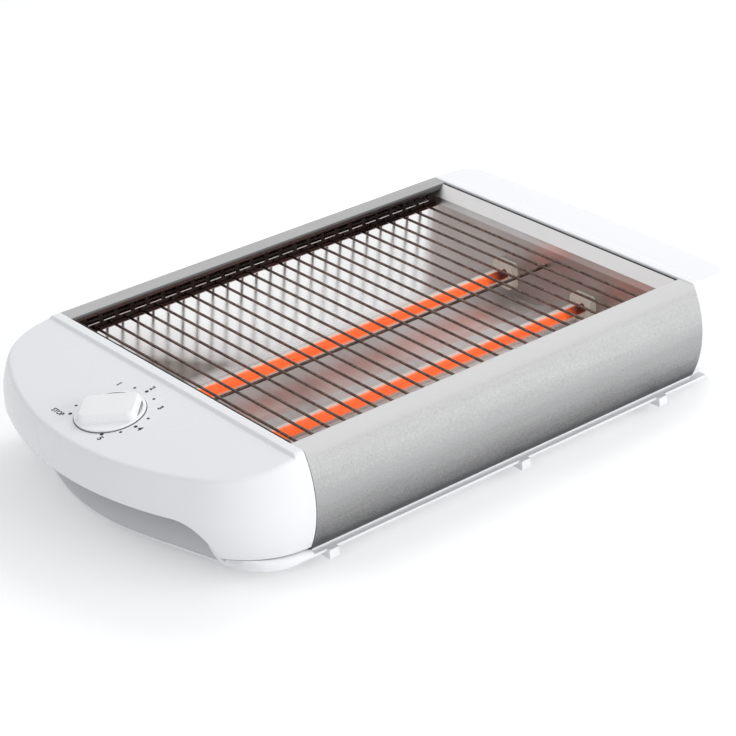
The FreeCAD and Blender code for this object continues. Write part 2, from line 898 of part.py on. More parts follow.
def knob():
    disc_top = knob_lift + knob_disc
    disc = rod(up * knob_lift, up, knob_radius, knob_disc)
    rim = [e for e in disc.Edges if e.BoundBox.ZMin > knob_lift + knob_disc / 2]
    disc = disc.makeFillet(disc_edge, rim)
    grip = rounded_block(grip_length, grip_width, knob_disc + grip_height, grip_corner)
    crown = [e for e in grip.Edges if e.BoundBox.ZMin > grip_height]
    grip = grip.makeFillet(grip_edge, crown)
    grip.rotate(Vector(0, 0, 0), up, grip_angle)
    grip.translate(up * knob_lift)
    bore = rod(Vector(0, 0, 0), up, shaft_radius, disc_top + grip_height - shaft_sink)
    return on_panel(disc.fuse(grip).cut(bore).removeSplitter())


def shaft_bottom():
    return timer_top - shaft_in_timer


def timer_shaft():
    top = knob_lift + knob_disc + grip_height - shaft_sink
    return on_panel(rod(up * shaft_bottom(), up, shaft_radius, top - shaft_bottom()))


def timer_screw_solids(gap):
    """Countersunk screws through the panel, hidden by the knob; gap widens them into holes."""
    shank_low = timer_top - timer_thread
    result = []
    for side in (-1, 1):
        place = across * (side * timer_screw_reach)
        head = Part.makeCone(timer_screw_shank + gap, timer_screw_head + gap, timer_head_depth,
                             place - up * timer_head_depth)
        shank = rod(place + up * shank_low, up, timer_screw_shank + gap,
                    -timer_head_depth - shank_low)
        pieces = [head, shank]
        if gap > 0:
            pieces.append(rod(place, up, timer_screw_head + gap, 2 * gap))
        result.append(joined(pieces))
    return result


def timer_screws():
    return group([on_panel(shape) for shape in timer_screw_solids(0.0)])


def timer_screw_holes():
    return [rod(across * (side * timer_screw_reach) + up * (timer_top - timer_thread - bush_gap),
                up, timer_screw_shank + bush_gap, timer_thread + timer_plate + 2 * bush_gap)
            for side in (-1, 1)]


def timer_mount():
    """Plate under the panel that carries the timer and its bell."""
    plate = box(-timer_width / 2, timer_width / 2, -timer_length / 2 - plate_margin,
                timer_length / 2 + bell_place + bell_radius + bush_gap, timer_top, -plastic)
    shaft_room = rod(up * timer_top, up, shaft_hole, timer_plate)
    return on_panel(plate.cut([shaft_room] + timer_screw_holes()))


def timer_body():
    body = rounded_block(timer_width, timer_length, timer_height, timer_corner)
    body.translate(up * (timer_top - timer_height))
    socket = rod(up * (shaft_bottom() - bush_gap), up, shaft_radius + running_gap,
                 shaft_in_timer + bush_gap)
    return on_panel(body.cut([socket] + timer_screw_holes()))


def tag_z():
    return timer_top - timer_height + tag_height


def timer_tags():
    """Two flat contacts on the timer's sides."""
    tag = box(-tag_width / 2, tag_width / 2, timer_length / 2, timer_length / 2 + tag_length,
              tag_z(), tag_z() + tag_thick)
    return group([on_panel(tag), on_panel(mirrored(tag))])


def timer_bell():
    """Small pressed cup that the timer's hammer rings, hung under the mounting plate."""
    foot = across * (timer_length / 2 + bell_place) + up * (timer_top - bell_drop - bell_height)
    cup = rod(foot, up, bell_radius, bell_height)
    hollow = rod(foot, up, bell_radius - bell_wall, bell_height - bell_wall)
    stem = rod(foot + up * (bell_height - bell_wall), up, bell_stem, bell_wall + bell_drop)
    return on_panel(cup.cut(hollow).fuse(stem).removeSplitter())


# Mains inlet

def gland_x():
    return x_control - gland_back


def gland_wall():
    """Outer face of the rear wall at the gland's height."""
    return half_width + belly(gland_height)


def gland_hole():
    start = Vector(gland_x(), gland_wall() - 2 * gland_depth, gland_height)
    return rod(start, across, gland_radius, 4 * gland_depth)


def cord_gland(housing):
    """Bush in the rear wall with a flange inside and outside, bored for the mains cord."""
    y_out = half_width + panel_bulge - fit_gap
    y_in = half_width - gland_depth
    start = Vector(gland_x(), y_in, gland_height)
    neck = rod(start, across, gland_radius - thread_gap, y_out - y_in)
    outer = rod(Vector(gland_x(), gland_wall() - plastic, gland_height), across, gland_flange,
                y_out - gland_wall() + plastic)
    inner = rod(start, across, gland_flange, gland_inner_flange)
    gland = neck.fuse([outer, inner]).cut(housing)
    gland = gland.cut(rod(start, across, gland_bore, y_out - y_in))
    return max(gland.Solids, key=lambda solid: solid.Volume)


def block_box(z0, z1):
    """Box over the terminal block's seat, between two heights."""
    x = x_control - block_back
    return box(x - block_length / 2, x + block_length / 2, block_out - block_width / 2,
               block_out + block_width / 2, z0, z1)


def pole(side):
    """Floor of one of the terminal block's two sockets."""
    return Vector(x_control - block_back + side * block_poles / 2, block_out, rim_top + pole_floor)


def block_pad():
    return block_box(floor_bottom, rim_top)


def terminal_block():
    holes = [rod(pole(side), up, pole_radius, block_height - pole_floor) for side in (-1, 1)]
    return block_box(rim_top, rim_top + block_height).cut(holes)


def lead(points):
    """Insulated wire along straight runs joined by arcs as large as the runs allow."""
    count = len(points)
    edges = []
    last = points[0]
    for i in range(1, count - 1):
        back = points[i - 1] - points[i]
        ahead = points[i + 1] - points[i]
        half_turn = (math.pi - back.getAngle(ahead)) / 2
        reach = 0.45 * min(back.Length, ahead.Length)
        back.normalize()
        ahead.normalize()
        start = points[i] + back * reach
        end = points[i] + ahead * reach
        radius = reach / math.tan(half_turn)
        middle = (back + ahead).normalize()
        mid = points[i] + middle * (radius / math.cos(half_turn) - radius)
        if (start - last).Length > 1e-6:
            edges.append(Part.makeLine(last, start))
        edges.append(Part.Arc(start, mid, end).toShape())
        last = end
    edges.append(Part.makeLine(last, points[-1]))
    path = Part.Wire(edges)
    ring = Part.Wire(Part.Circle(points[0], edges[0].tangentAt(edges[0].FirstParameter),
                                 lead_radius).toShape())
    return path.makePipeShell([ring], True, False)


def tag_end(side):
    """Middle of a timer contact's outer end."""
    y = side * (timer_length / 2 + tag_length)
    return on_panel(Part.Vertex(0, y, tag_z() + tag_thick / 2)).Point


def pin_end(side, far):
    x = tube_x1 + pin_reach if far else tube_x0 - pin_reach
    return Vector(x, tube_axis(side), tube_height)


def supply_lead():
    start = pole(-1)
    tag = tag_end(1)
    return lead([start, start + up * lead_slack,
                 tag + Vector(0, lead_slack + lead_straight, -lead_rise),
                 tag + across * lead_straight, tag])


def return_lead():
    start = pole(1)
    pin = pin_end(1, False)
    return lead([start, start + up * lead_loop,
                 pin + Vector(-lead_straight, lead_slack, lead_rise),
                 pin - along * lead_straight, pin])


def switched_lead():
    tag = tag_end(-1)
    pin = pin_end(-1, False)
    return lead([tag, tag - across * lead_straight,
                 pin + Vector(-lead_slack, -lead_rise, lead_rise),
                 pin - along * lead_straight, pin])


def link_lead():
    front = pin_end(-1, True)
    rear = pin_end(1, True)
    return lead([front, front + along * lead_straight,
                 front + Vector(lead_loop, lead_slack, lead_rise),
                 rear + Vector(lead_loop, -lead_slack, lead_rise),
                 rear + along * lead_straight, rear])


housing = control_housing()
save(housing, "control_housing")
save(end_cap(), "end_cap")
rear_panel = side_panel()
save(rear_panel, "rear_side_panel")
save(mirrored(rear_panel), "front_side_panel")
save(base_pan(), "base_pan")
save(rim_lugs(), "rim_lugs")
save(feet(), "feet")
save(foot_screws(), "foot_screws")
save(base_screws(), "base_screws")
rear_rail = wire_rail()
save(rear_rail, "rear_wire_rail")
save(mirrored(rear_rail), "front_wire_rail")
save(grill_wires(), "grill_wires")
save(centre_rod(), "centre_rod")
save(control_end_wall(), "control_end_wall")
save(far_end_wall(), "far_end_wall")
save(reflector(), "reflector")
save(reflector_brackets(), "reflector_brackets")
for name, side in (("front", -1), ("rear", 1)):
    save(quartz_tube(side), name + "_quartz_tube")
    save(heating_coil(side), name + "_heating_coil")
save(tube_holders(), "tube_holders")
save(tube_plugs(), "tube_plugs")
save(tube_terminals(), "tube_terminals")
save(knob(), "timer_knob")
save(timer_shaft(), "timer_shaft")
save(timer_screws(), "timer_screws")
save(timer_mount(), "timer_mount")
save(timer_body(), "timer_body")
save(timer_tags(), "timer_tags")
save(timer_bell(), "timer_bell")
save(cord_gland(housing), "cord_gland")
save(terminal_block(), "terminal_block")
save(supply_lead(), "supply_lead")
save(return_lead(), "return_lead")
save(switched_lead(), "switched_lead")
save(link_lead(), "link_lead")
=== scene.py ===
import json
import math

import bmesh
import bpy
import numpy as np
from mathutils import Matrix, Vector


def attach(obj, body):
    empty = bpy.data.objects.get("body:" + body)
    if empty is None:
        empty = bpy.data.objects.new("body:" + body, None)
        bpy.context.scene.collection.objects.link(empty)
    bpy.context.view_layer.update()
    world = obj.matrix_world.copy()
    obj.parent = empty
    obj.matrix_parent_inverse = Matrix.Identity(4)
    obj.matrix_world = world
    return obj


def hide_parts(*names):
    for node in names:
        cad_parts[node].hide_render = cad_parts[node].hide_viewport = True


# Flat toaster with a white control end, brushed steel sides and two quartz heaters.
# Sizes here are millimetres in the CAD's frame; meshes are scaled to metres when made.

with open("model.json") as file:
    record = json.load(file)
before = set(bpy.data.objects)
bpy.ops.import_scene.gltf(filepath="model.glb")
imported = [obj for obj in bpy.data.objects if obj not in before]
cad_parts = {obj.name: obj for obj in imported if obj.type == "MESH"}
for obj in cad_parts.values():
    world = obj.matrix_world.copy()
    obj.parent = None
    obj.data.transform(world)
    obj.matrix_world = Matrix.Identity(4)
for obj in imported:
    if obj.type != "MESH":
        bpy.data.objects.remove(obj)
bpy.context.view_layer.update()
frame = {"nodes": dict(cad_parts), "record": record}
nodes = frame["nodes"]

MM = 0.001

# Main sizes, as in the CAD
X_CONTROL = -122.75
X_FAR = 157.25
HALF = 112.5
CREASE = 70.0
PANEL_BOTTOM = 12.3
BULGE = 7.6
BELLY_Z = 41.15
BULGE_R = ((CREASE - PANEL_BOTTOM) ** 2 / 4 + BULGE ** 2) / (2 * BULGE)
STEEL = 1.0
FLANGE_EDGE = 100.2
PLASTIC = 2.2
TILT = math.radians(7.0)
TOP = 69.7
LIP_TOP = 70.5
LIP_WIDTH = 6.5
LIP_BLEND = 1.7
JOINT_ROUND = 0.8
LOW_EDGE = 14.0
TOP_FILLET = 3.0
HOLE_SIDES = 48
SCOOP_HALF = 95.5
SCOOP_TOP = 39.5
SCOOP_CORNER = 19.0
KNOB_SETBACK = 42.0
KNOB_X = X_CONTROL - KNOB_SETBACK
KNOB_Z = TOP - KNOB_SETBACK * math.tan(TILT)
TUBE_Y = 34.0
TUBE_Z = 32.5
COIL_WIRE = 0.42
WIRES = 24
WIRE_FIRST = 14.5
WIRE_PITCH = 10.75


# Making objects

def new_object(name, mesh, body="body"):
    """A visible piece that moves with a body."""
    obj = bpy.data.objects.new(name, mesh)
    bpy.context.scene.collection.objects.link(obj)
    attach(obj, body)
    return obj


def finish_mesh(bm, name, sharp=32.0):
    """Turns a bmesh in millimetres into a smooth mesh in metres with its hard edges marked."""
    bmesh.ops.remove_doubles(bm, verts=bm.verts, dist=1e-4)
    bmesh.ops.recalc_face_normals(bm, faces=bm.faces)
    bmesh.ops.scale(bm, vec=(MM, MM, MM), verts=bm.verts)
    mesh = bpy.data.meshes.new(name)
    bm.to_mesh(mesh)
    bm.free()
    mesh.polygons.foreach_set("use_smooth", [True] * len(mesh.polygons))
    mesh.set_sharp_from_angle(angle=math.radians(sharp))
    return mesh


def grid_faces(bm, rows, closed=False):
    """Quads between successive rows of vertices of equal length."""
    for a, b in zip(rows[:-1], rows[1:]):
        count = len(a)
        for i in range(count if closed else count - 1):
            j = (i + 1) % count
            quad = [a[i], a[j], b[j], b[i]]
            if len(set(quad)) == 4:
                bm.faces.new(quad)


def add_rows(bm, rows):
    return [[bm.verts.new(p) for p in row] for row in rows]


def capped(bm, rows):
    """Rings of points joined into one closed solid with flat ends."""
    verts = add_rows(bm, rows)
    grid_faces(bm, verts, True)
    bm.faces.new(verts[0])
    bm.faces.new(verts[-1])


def circle(r, z, sides):
    """Points of a level circle about the Z axis."""
    turns = [2 * math.pi * k / sides for k in range(sides)]
    return [(r * math.cos(a), r * math.sin(a), z) for a in turns]


def smoothstep(t):
    t = max(0.0, min(1.0, t))
    return t * t * (3 - 2 * t)


# Barrel-walled plastic ends

def barrel(z, inset=0.0):
    """How far the barrel wall stands outside the plan outline at height z."""
    return BULGE - BULGE_R + math.sqrt((BULGE_R - inset) ** 2 - (z - BELLY_Z) ** 2)


class EndPlan:
    """Plan outline of a plastic end, from the rear of its flat side round to the front."""

    def __init__(self, depth, nose_r, corner_r):
        self.side_y = HALF - corner_r
        self.nose_r = nose_r
        self.corner_r = corner_r
        self.nose_x = nose_r - depth
        reach = math.sqrt((nose_r - corner_r) ** 2 - self.side_y ** 2)
        self.corner_x = self.nose_x - reach
        self.spread = math.atan2(self.side_y, reach)
        turn = corner_r * (math.pi / 2 - self.spread)
        self.runs = [-self.corner_x, turn, nose_r * 2 * self.spread, turn, -self.corner_x]
        self.length = sum(self.runs)

    def at(self, u):
        """Point and outward normal at arc length u."""
        runs = self.runs
        if u <= runs[0]:
            return (-u, HALF), (0.0, 1.0)
        u -= runs[0]
        arcs = ((self.corner_x, self.side_y, self.corner_r, math.pi / 2),
                (self.nose_x, 0.0, self.nose_r, math.pi - self.spread),
                (self.corner_x, -self.side_y, self.corner_r, math.pi + self.spread))
        for (x, y, r, start), run in zip(arcs, runs[1:4]):
            if u <= run:
                a = start + u / r
                n = (math.cos(a), math.sin(a))
                return (x + r * n[0], y + r * n[1]), n
            u -= run
        return (self.corner_x + u, -HALF), (0.0, -1.0)

    def surface(self, u, z, inset=0.0, out=0.0):
        """Point of the barrel wall at arc length u and height z."""
        p, n = self.at(u)
        s = barrel(z, inset) + out
        return Vector((p[0] + n[0] * s, p[1] + n[1] * s, z))

    def normal(self, u, z):
        """Outward normal of the barrel wall at arc length u and height z."""
        n = self.at(u)[1]
        lean = math.asin((z - BELLY_Z) / BULGE_R)
        return Vector((n[0] * math.cos(lean), n[1] * math.cos(lean), math.sin(lean)))


def crease_arc(plan, u, top_z, slope, radius, out, steps):
    """Fillet between the top plane and the barrel wall, as offsets from the plan and heights."""
    p, n = plan.at(u)
    z0 = top_z + p[0] * slope
    m = n[0] * slope
    k = math.sqrt(1 + m * m)
    ws = BULGE - BULGE_R + out
    a = 1 + m * m
    dz = z0 - radius * k - BELLY_Z
    b = m * dz - ws
    c = ws * ws + dz * dz - (BULGE_R - radius) ** 2
    cs = (-b + math.sqrt(b * b - a * c)) / a
    cz = z0 + m * cs - radius * k
    start = math.atan2(1, -m)
    end = math.atan2(cz - BELLY_Z, cs - ws)
    row = []
    for i in range(steps + 1):
        t = start + (end - start) * i / steps
        row.append((cs + radius * math.cos(t), cz + radius * math.sin(t)))
    return p, n, row


def joint_round(d):
    """How far the rounded edge beside the steel falls back at distance d from it."""
    if d >= JOINT_ROUND:
        return 0.0
    return JOINT_ROUND * (1 - math.sqrt(max(0.0, 1 - (1 - d / JOINT_ROUND) ** 2)))


def lip_top(d, plane):
    """Height of the raised lip beside the steel at distance d from it."""
    blend = smoothstep((LIP_WIDTH + 0.7 - d) / LIP_BLEND)
    return plane + (LIP_TOP - plane) * blend - joint_round(d)


# Distances from the steel at which the lip has its stations
LIP_STEPS = [0.0, 0.04, 0.12, 0.26, 0.46, 0.8, 1.6, 3.0, 4.6, 5.3, 5.6, 5.9, 6.2, 6.5, 6.8, 7.1,
             7.4, 7.75]


def low_edge_housing(plan):
    """Lower edge of the control housing as (u, z), with the rounded finger scoop in it."""
    rise = math.tan(math.radians(5.8))
    side_z = 19.0

    def low(u):
        p, n = plan.at(u)
        z = LOW_EDGE
        for _ in range(4):
            z = LOW_EDGE - (p[0] + n[0] * barrel(z)) * rise
        return z

    def u_of(y, z):
        a, b = plan.runs[0], plan.length / 2
        for _ in range(46):
            mid = (a + b) / 2
            p, n = plan.at(mid)
            if p[1] + n[1] * barrel(z) > y:
                a = mid
            else:
                b = mid
        return (a + b) / 2

    corner = 3.0
    side = SCOOP_HALF
    u_side = u_of(side + corner, side_z)
    points = []
    u = LIP_STEPS[-1]
    while u < u_side - 1.0:
        points.append((u, low(u)))
        u += 2.6
    z_low = low(u_of(side, side_z))
    z_out = low(u_side)
    for i in range(9):
        t = math.pi / 2 * i / 8
        y = side + corner * (1 - math.sin(t))
        z = z_out + (z_low - z_out) * math.sin(t) + corner * (1 - math.cos(t))
        points.append((u_of(y, z), z))
    z_arc = SCOOP_TOP - SCOOP_CORNER
    z = z_low + corner
    while z < z_arc - 0.7:
        z += 1.0
        points.append((u_of(side, z), z))
    for i in range(1, 17):
        t = math.pi / 2 * i / 16
        y = side - SCOOP_CORNER * (1 - math.cos(t))
        z = z_arc + SCOOP_CORNER * math.sin(t)
        points.append((u_of(y, z), z))
    y = side - SCOOP_CORNER
    while y > 3.5:
        y -= 3.4
        points.append((u_of(max(y, 0.0), SCOOP_TOP), SCOOP_TOP))
    points = [p for p in points if p[0] < plan.length / 2 - 0.5]
    points.append((plan.length / 2, SCOOP_TOP))
    return points + [(plan.length - u, z) for u, z in reversed(points[:-1])], low


def low_edge_level(plan, z):
    """Level lower edge as (u, z)."""
    first = LIP_STEPS[-1]
    count = 96
    points = [(first + (plan.length - 2 * first) * i / count, z) for i in range(count + 1)]
    return points, lambda u: z


def end_shell(plan, edge, low, top_z, slope, name, hole=None):
    """Double-walled moulding: raised lip, creased top, barrel wall and rolled lower edge."""
    bm = bmesh.new()
    steps = 9
    rows_out = 13
    rows_in = 6
    roll_steps = 8
    ring_set = 0.6
    roll = PLASTIC / 2
    lip_us = LIP_STEPS[:-1]
    us = lip_us + [e[0] for e in edge] + [plan.length - d for d in reversed(lip_us)]
    zs = [low(u) for u in lip_us] + [e[1] for e in edge]
    zs += [low(plan.length - d) for d in reversed(lip_us)]
    count = len(us)
    low_points = [plan.surface(us[i], zs[i]) for i in range(count)]
    middle = range(len(lip_us), count - len(lip_us))
    reach = [0.0]
    for i in list(middle)[1:]:
        reach.append(reach[-1] + (low_points[i] - low_points[i - 1]).length)
    span = plan.length - 2 * LIP_STEPS[-1]
    tops = list(us)
    for k, i in enumerate(middle):
        tops[i] = LIP_STEPS[-1] + span * reach[k] / reach[-1]
    columns = []
    for i in range(count):
        u_top = tops[i]
        d = min(u_top, plan.length - u_top)
        on_lip = d < LIP_STEPS[-1] - 1e-6
        p = plan.at(u_top)[0]
        if on_lip:
            top = lip_top(d, top_z + p[0] * slope)
            out = -joint_round(d)
            cp, cn, arc = crease_arc(plan, u_top, top, 0.0, TOP_FILLET, out, steps)
        else:
            out = 0.0
            cp, cn, arc = crease_arc(plan, u_top, top_z, slope, TOP_FILLET, out, steps)
        column = []
        ring_s = arc[0][0] - ring_set
        ring_z = arc[0][1] - ring_set * (0.0 if on_lip else cn[0] * slope)
        for s, z in [(ring_s, ring_z)] + arc:
            column.append(Vector((cp[0] + cn[0] * s, cp[1] + cn[1] * s, z)))
        z_wall = arc[-1][1]
        # The rolled lower edge, square to the edge line and to the wall.
        normal = plan.normal(us[i], zs[i])
        a = low_points[max(i - 1, 0)]
        b = low_points[min(i + 1, count - 1)]
        tangent = (b - a).normalized()
        down = tangent.cross(normal)
        if i in (0, count - 1):
            down.x = 0.0
        down.normalize()
        if i == 0:
            flip = -1.0 if down.z > 0 else 1.0
        down *= flip
        qn = plan.at(us[i])[1]
        run = Vector((-qn[1], qn[0], 0.0))
        u_end = us[i] + (-down * roll).dot(run)
        u_end = min(max(u_end, 0.0), plan.length)
        if i < len(lip_us) or i >= count - len(lip_us):
            u_end = us[i]
        z_end = zs[i] - down.z * roll
        for k in range(1, rows_out + 1):
            t = k / rows_out
            u = u_top + (u_end - u_top) * t
            z = z_wall + (z_end - z_wall) * t
            column.append(plan.surface(u, z, 0.0, out))
        at_end = column[-1]
        centre = at_end - normal * roll
        for k in range(1, roll_steps):
            t = math.pi * k / roll_steps
            column.append(centre + normal * (roll * math.cos(t)) + down * (roll * math.sin(t)))
        z_in_low = z_end - PLASTIC * normal.z
        drop = PLASTIC * math.sqrt(1 + slope * slope)
        z_in_top = top_z - drop
        for _ in range(6):
            s = barrel(z_in_top, PLASTIC)
            z_in_top = top_z - drop + (p[0] + plan.at(u_top)[1][0] * s) * slope
        for k in range(rows_in + 1):
            t = k / rows_in
            u = u_end + (u_top - u_end) * t
            z = z_in_low + (z_in_top - z_in_low) * t
            column.append(plan.surface(u, z, PLASTIC))
        columns.append(column)
    verts = add_rows(bm, columns)
    grid_faces(bm, verts)
    # Bands across the top between matching stations of the lip.
    last = len(lip_us)
    for i in range(last):
        a, b = verts[i], verts[i + 1]
        c, e = verts[count - 1 - i], verts[count - 2 - i]
        bm.faces.new([a[0], b[0], e[0], c[0]])
        bm.faces.new([a[-1], b[-1], e[-1], c[-1]])
    outer_ring = [verts[i][0] for i in range(last, count - last)]
    inner_ring = [verts[i][-1] for i in range(last, count - last)]
    for ring, drop in ((outer_ring, 0.0), (inner_ring, PLASTIC)):
        edges = []
        for i in range(len(ring)):
            pair = (ring[i], ring[(i + 1) % len(ring)])
            edges.append(bm.edges.get(pair) or bm.edges.new(pair))
        if hole:
            disc = []
            for k in range(HOLE_SIDES):
                a = 2 * math.pi * k / HOLE_SIDES
                x = hole[0] + hole[1] * math.cos(a)
                z = top_z + x * slope - drop * math.sqrt(1 + slope * slope)
                disc.append(bm.verts.new((x, hole[1] * math.sin(a), z)))
            for k in range(HOLE_SIDES):
                edges.append(bm.edges.new((disc[k], disc[(k + 1) % HOLE_SIDES])))
            if drop:
                grid_faces(bm, [first_disc, disc], True)
            first_disc = disc
        bmesh.ops.triangle_fill(bm, use_beauty=True, use_dissolve=False, edges=edges)
    loose = [e for e in bm.edges if len(e.link_faces) == 1]
    bmesh.ops.triangle_fill(bm, use_beauty=True, use_dissolve=False, edges=loose)
    return finish_mesh(bm, name)


def bored(obj, x, z, radius):
    """Cuts a round hole through the rear wall of an object, along Y."""
    bm = bmesh.new()
    turns = [2 * math.pi * k / HOLE_SIDES for k in range(HOLE_SIDES)]
    rows = [[(x + radius * math.cos(a), y, z + radius * math.sin(a)) for a in turns]
            for y in (100.0, 130.0)]
    capped(bm, rows)
    cutter = bpy.data.objects.new("cutter", finish_mesh(bm, "cutter"))
    bpy.context.scene.collection.objects.link(cutter)
    cut = obj.modifiers.new("bore", "BOOLEAN")
    cut.operation = "DIFFERENCE"
    cut.solver = "EXACT"
    cut.object = cutter
    bpy.context.view_layer.update()
    mesh = bpy.data.meshes.new_from_object(obj.evaluated_get(
        bpy.context.evaluated_depsgraph_get()))
    obj.modifiers.clear()
    obj.data = mesh
    bpy.data.objects.remove(cutter)


def turn_mesh(mesh, x, half_turn=False):
    """Moves an end's mesh to its joint with the steel, facing the other way if asked."""
    matrix = Matrix.Translation((x * MM, 0, 0))
    if half_turn:
        matrix = matrix @ Matrix.Rotation(math.pi, 4, "Z")
    mesh.transform(matrix)
    return mesh


# Steel sides

def steel_profile():
    """Outer line of a folded steel side as (y, z, normal), for the rear side."""
    fold = 1.5
    foot = 1.3
    lip = 1.5
    lip_depth = 3.0
    foot_width = 7.0
    centre = HALF + BULGE - BULGE_R
    line = []

    def arc(cy, cz, r, a0, a1, steps):
        for i in range(steps + 1):
            a = math.radians(a0 + (a1 - a0) * i / steps)
            n = (math.cos(a), math.sin(a))
            line.append((cy + r * n[0], cz + r * n[1], n))

    line.append((FLANGE_EDGE, CREASE - lip_depth, (-1.0, 0.0)))
    arc(FLANGE_EDGE + lip, CREASE - lip, lip, 180, 90, 7)
    for y in (103.5, 106.0, 108.5):
        line.append((y, CREASE, (0.0, 1.0)))
    cz = CREASE - fold
    cy = centre + math.sqrt((BULGE_R - fold) ** 2 - (cz - BELLY_Z) ** 2)
    top = math.degrees(math.atan2(cz - BELLY_Z, cy - centre))
    arc(cy, cz, fold, 90, top, 6)
    fz = PANEL_BOTTOM + foot
    fy = centre + math.sqrt((BULGE_R - foot) ** 2 - (fz - BELLY_Z) ** 2)
    low = math.degrees(math.atan2(fz - BELLY_Z, fy - centre))
    arc(centre, BELLY_Z, BULGE_R, top - 1.0, low + 1.0, 26)
    arc(fy, fz, foot, low, -90, 6)
    line.append((HALF - foot_width, PANEL_BOTTOM, (0.0, -1.0)))
    return line


def steel_side(side, name):
    """Folded steel side panel with square ends, made as one closed sheet."""
    bm = bmesh.new()
    profile = steel_profile()
    rows = []
    for x in (X_CONTROL + 0.05, X_CONTROL + 0.4, X_CONTROL + 93.0, X_CONTROL + 187.0,
              X_FAR - 0.4, X_FAR - 0.05):
        outer = [(x, side * y, z) for y, z, n in profile]
        inner = [(x, side * (y - n[0] * STEEL), z - n[1] * STEEL) for y, z, n in profile]
        rows.append(outer + inner[::-1])
    verts = add_rows(bm, rows)
    grid_faces(bm, verts, True)
    half = len(profile)
    for row in (verts[0], verts[-1]):
        for i in range(half - 1):
            bm.faces.new([row[i], row[i + 1], row[-2 - i], row[-1 - i]])
    return new_object(name, finish_mesh(bm, name, 40.0))


# Knob

def on_panel(mesh):
    """Places a mesh made about the knob's axis (in metres) on the sloping panel."""
    matrix = Matrix.Translation((KNOB_X * MM, 0, KNOB_Z * MM)) @ Matrix.Rotation(-TILT, 4, "Y")
    mesh.transform(matrix)
    return mesh


def rounded_rect(length, width, corner, count):
    """Points of a rounded rectangle, evenly spread by angle within each corner."""
    points = []
    per = count // 4
    for quadrant, (sx, sy) in enumerate(((1, 1), (-1, 1), (-1, -1), (1, -1))):
        cx = sx * (length / 2 - corner)
        cy = sy * (width / 2 - corner)
        for i in range(per + 1):
            a = math.pi / 2 * (quadrant + i / per)
            points.append((cx + corner * math.cos(a), cy + corner * math.sin(a)))
    return points


def knob_mesh():
    """Disc with a rounded rim and a crowned grip on it."""
    bm = bmesh.new()
    lift, disc, radius, bore, bore_top, rim_round = 0.3, 1.0, 19.4, 3.05, 3.4, 0.45
    length, width, height, edge, corner = 31.2, 21.7, 4.2, 1.1, 3.8
    turn = math.radians(135.0)
    top = lift + disc
    profile = [(bore, bore_top), (bore, lift), (radius - 0.3, lift), (radius - 0.1, lift + 0.08),
               (radius, lift + 0.25), (radius, top - rim_round)]
    for i in range(1, 7):
        a = math.pi / 2 * i / 6
        profile.append((radius - rim_round * (1 - math.cos(a)),
                        top - rim_round * (1 - math.sin(a))))
    profile += [(radius - 0.9, top), (radius - 1.6, top + 0.01)]
    verts = add_rows(bm, [circle(r, z, 96) for r, z in profile])
    grid_faces(bm, verts, True)
    bm.faces.new(verts[0])
    rim = verts[-1]
    # The grip: small flare at the disc, drafted sides, rounded shoulder, crowned top.
    levels = [(-0.4, 0.0), (-0.22, 0.05), (-0.08, 0.18), (0.0, 0.4), (0.08, 1.6), (0.16, 2.4),
              (0.22, height - edge)]
    for i in range(1, 8):
        a = math.pi / 2 * i / 7
        levels.append((0.22 + edge * (1 - math.cos(a)), height - edge * (1 - math.sin(a))))
    levels += [(2.4, height + 0.05), (5.4, height + 0.1), (8.2, height + 0.13)]
    outline = rounded_rect(length, width, corner, 64)
    grip = []
    for inset, z in levels:
        sx = (length - 2 * inset) / length
        sy = (width - 2 * inset) / width
        row = []
        for x, y in outline:
            gx, gy = x * sx, y * sy
            row.append((gx * math.cos(turn) - gy * math.sin(turn),
                        gx * math.sin(turn) + gy * math.cos(turn), top + z))
        grip.append(row)
    grip_verts = add_rows(bm, grip)
    grid_faces(bm, grip_verts, True)
    centre = bm.verts.new((0, 0, top + height + 0.14))
    crown = grip_verts[-1]
    for i in range(len(crown)):
        pair = (crown[i], crown[(i + 1) % len(crown)])
        if (pair[0].co - pair[1].co).length > 1e-5:
            bm.faces.new((pair[0], pair[1], centre))
    # The disc's top is filled between its rim and the foot of the grip.
    edges = []
    for ring in (rim, grip_verts[0]):
        for i in range(len(ring)):
            pair = (ring[i], ring[(i + 1) % len(ring)])
            edges.append(bm.edges.get(pair) or bm.edges.new(pair))
    bmesh.ops.triangle_fill(bm, use_beauty=True, use_dissolve=False, edges=edges)
    return finish_mesh(bm, "knob", 40.0)


# Print on the panel

def ring_mesh(inner, outer, name):
    """Thin ring lying on the panel about the knob's axis."""
    bm = bmesh.new()
    rows = []
    for k in range(96):
        a = 2 * math.pi * k / 96
        rows.append([(r * math.cos(a), r * math.sin(a), z) for r, z in
                     ((inner, 0.01), (outer, 0.01), (outer, 0.05), (inner, 0.05))])
    verts = add_rows(bm, rows + rows[:1])
    grid_faces(bm, verts, True)
    return on_panel(finish_mesh(bm, name))


def around_knob(radius, angle, z=0.0):
    """Shift to a radius and an angle about the knob's axis."""
    a = math.radians(angle)
    return Matrix.Translation((radius * MM * math.cos(a), radius * MM * math.sin(a), z * MM))


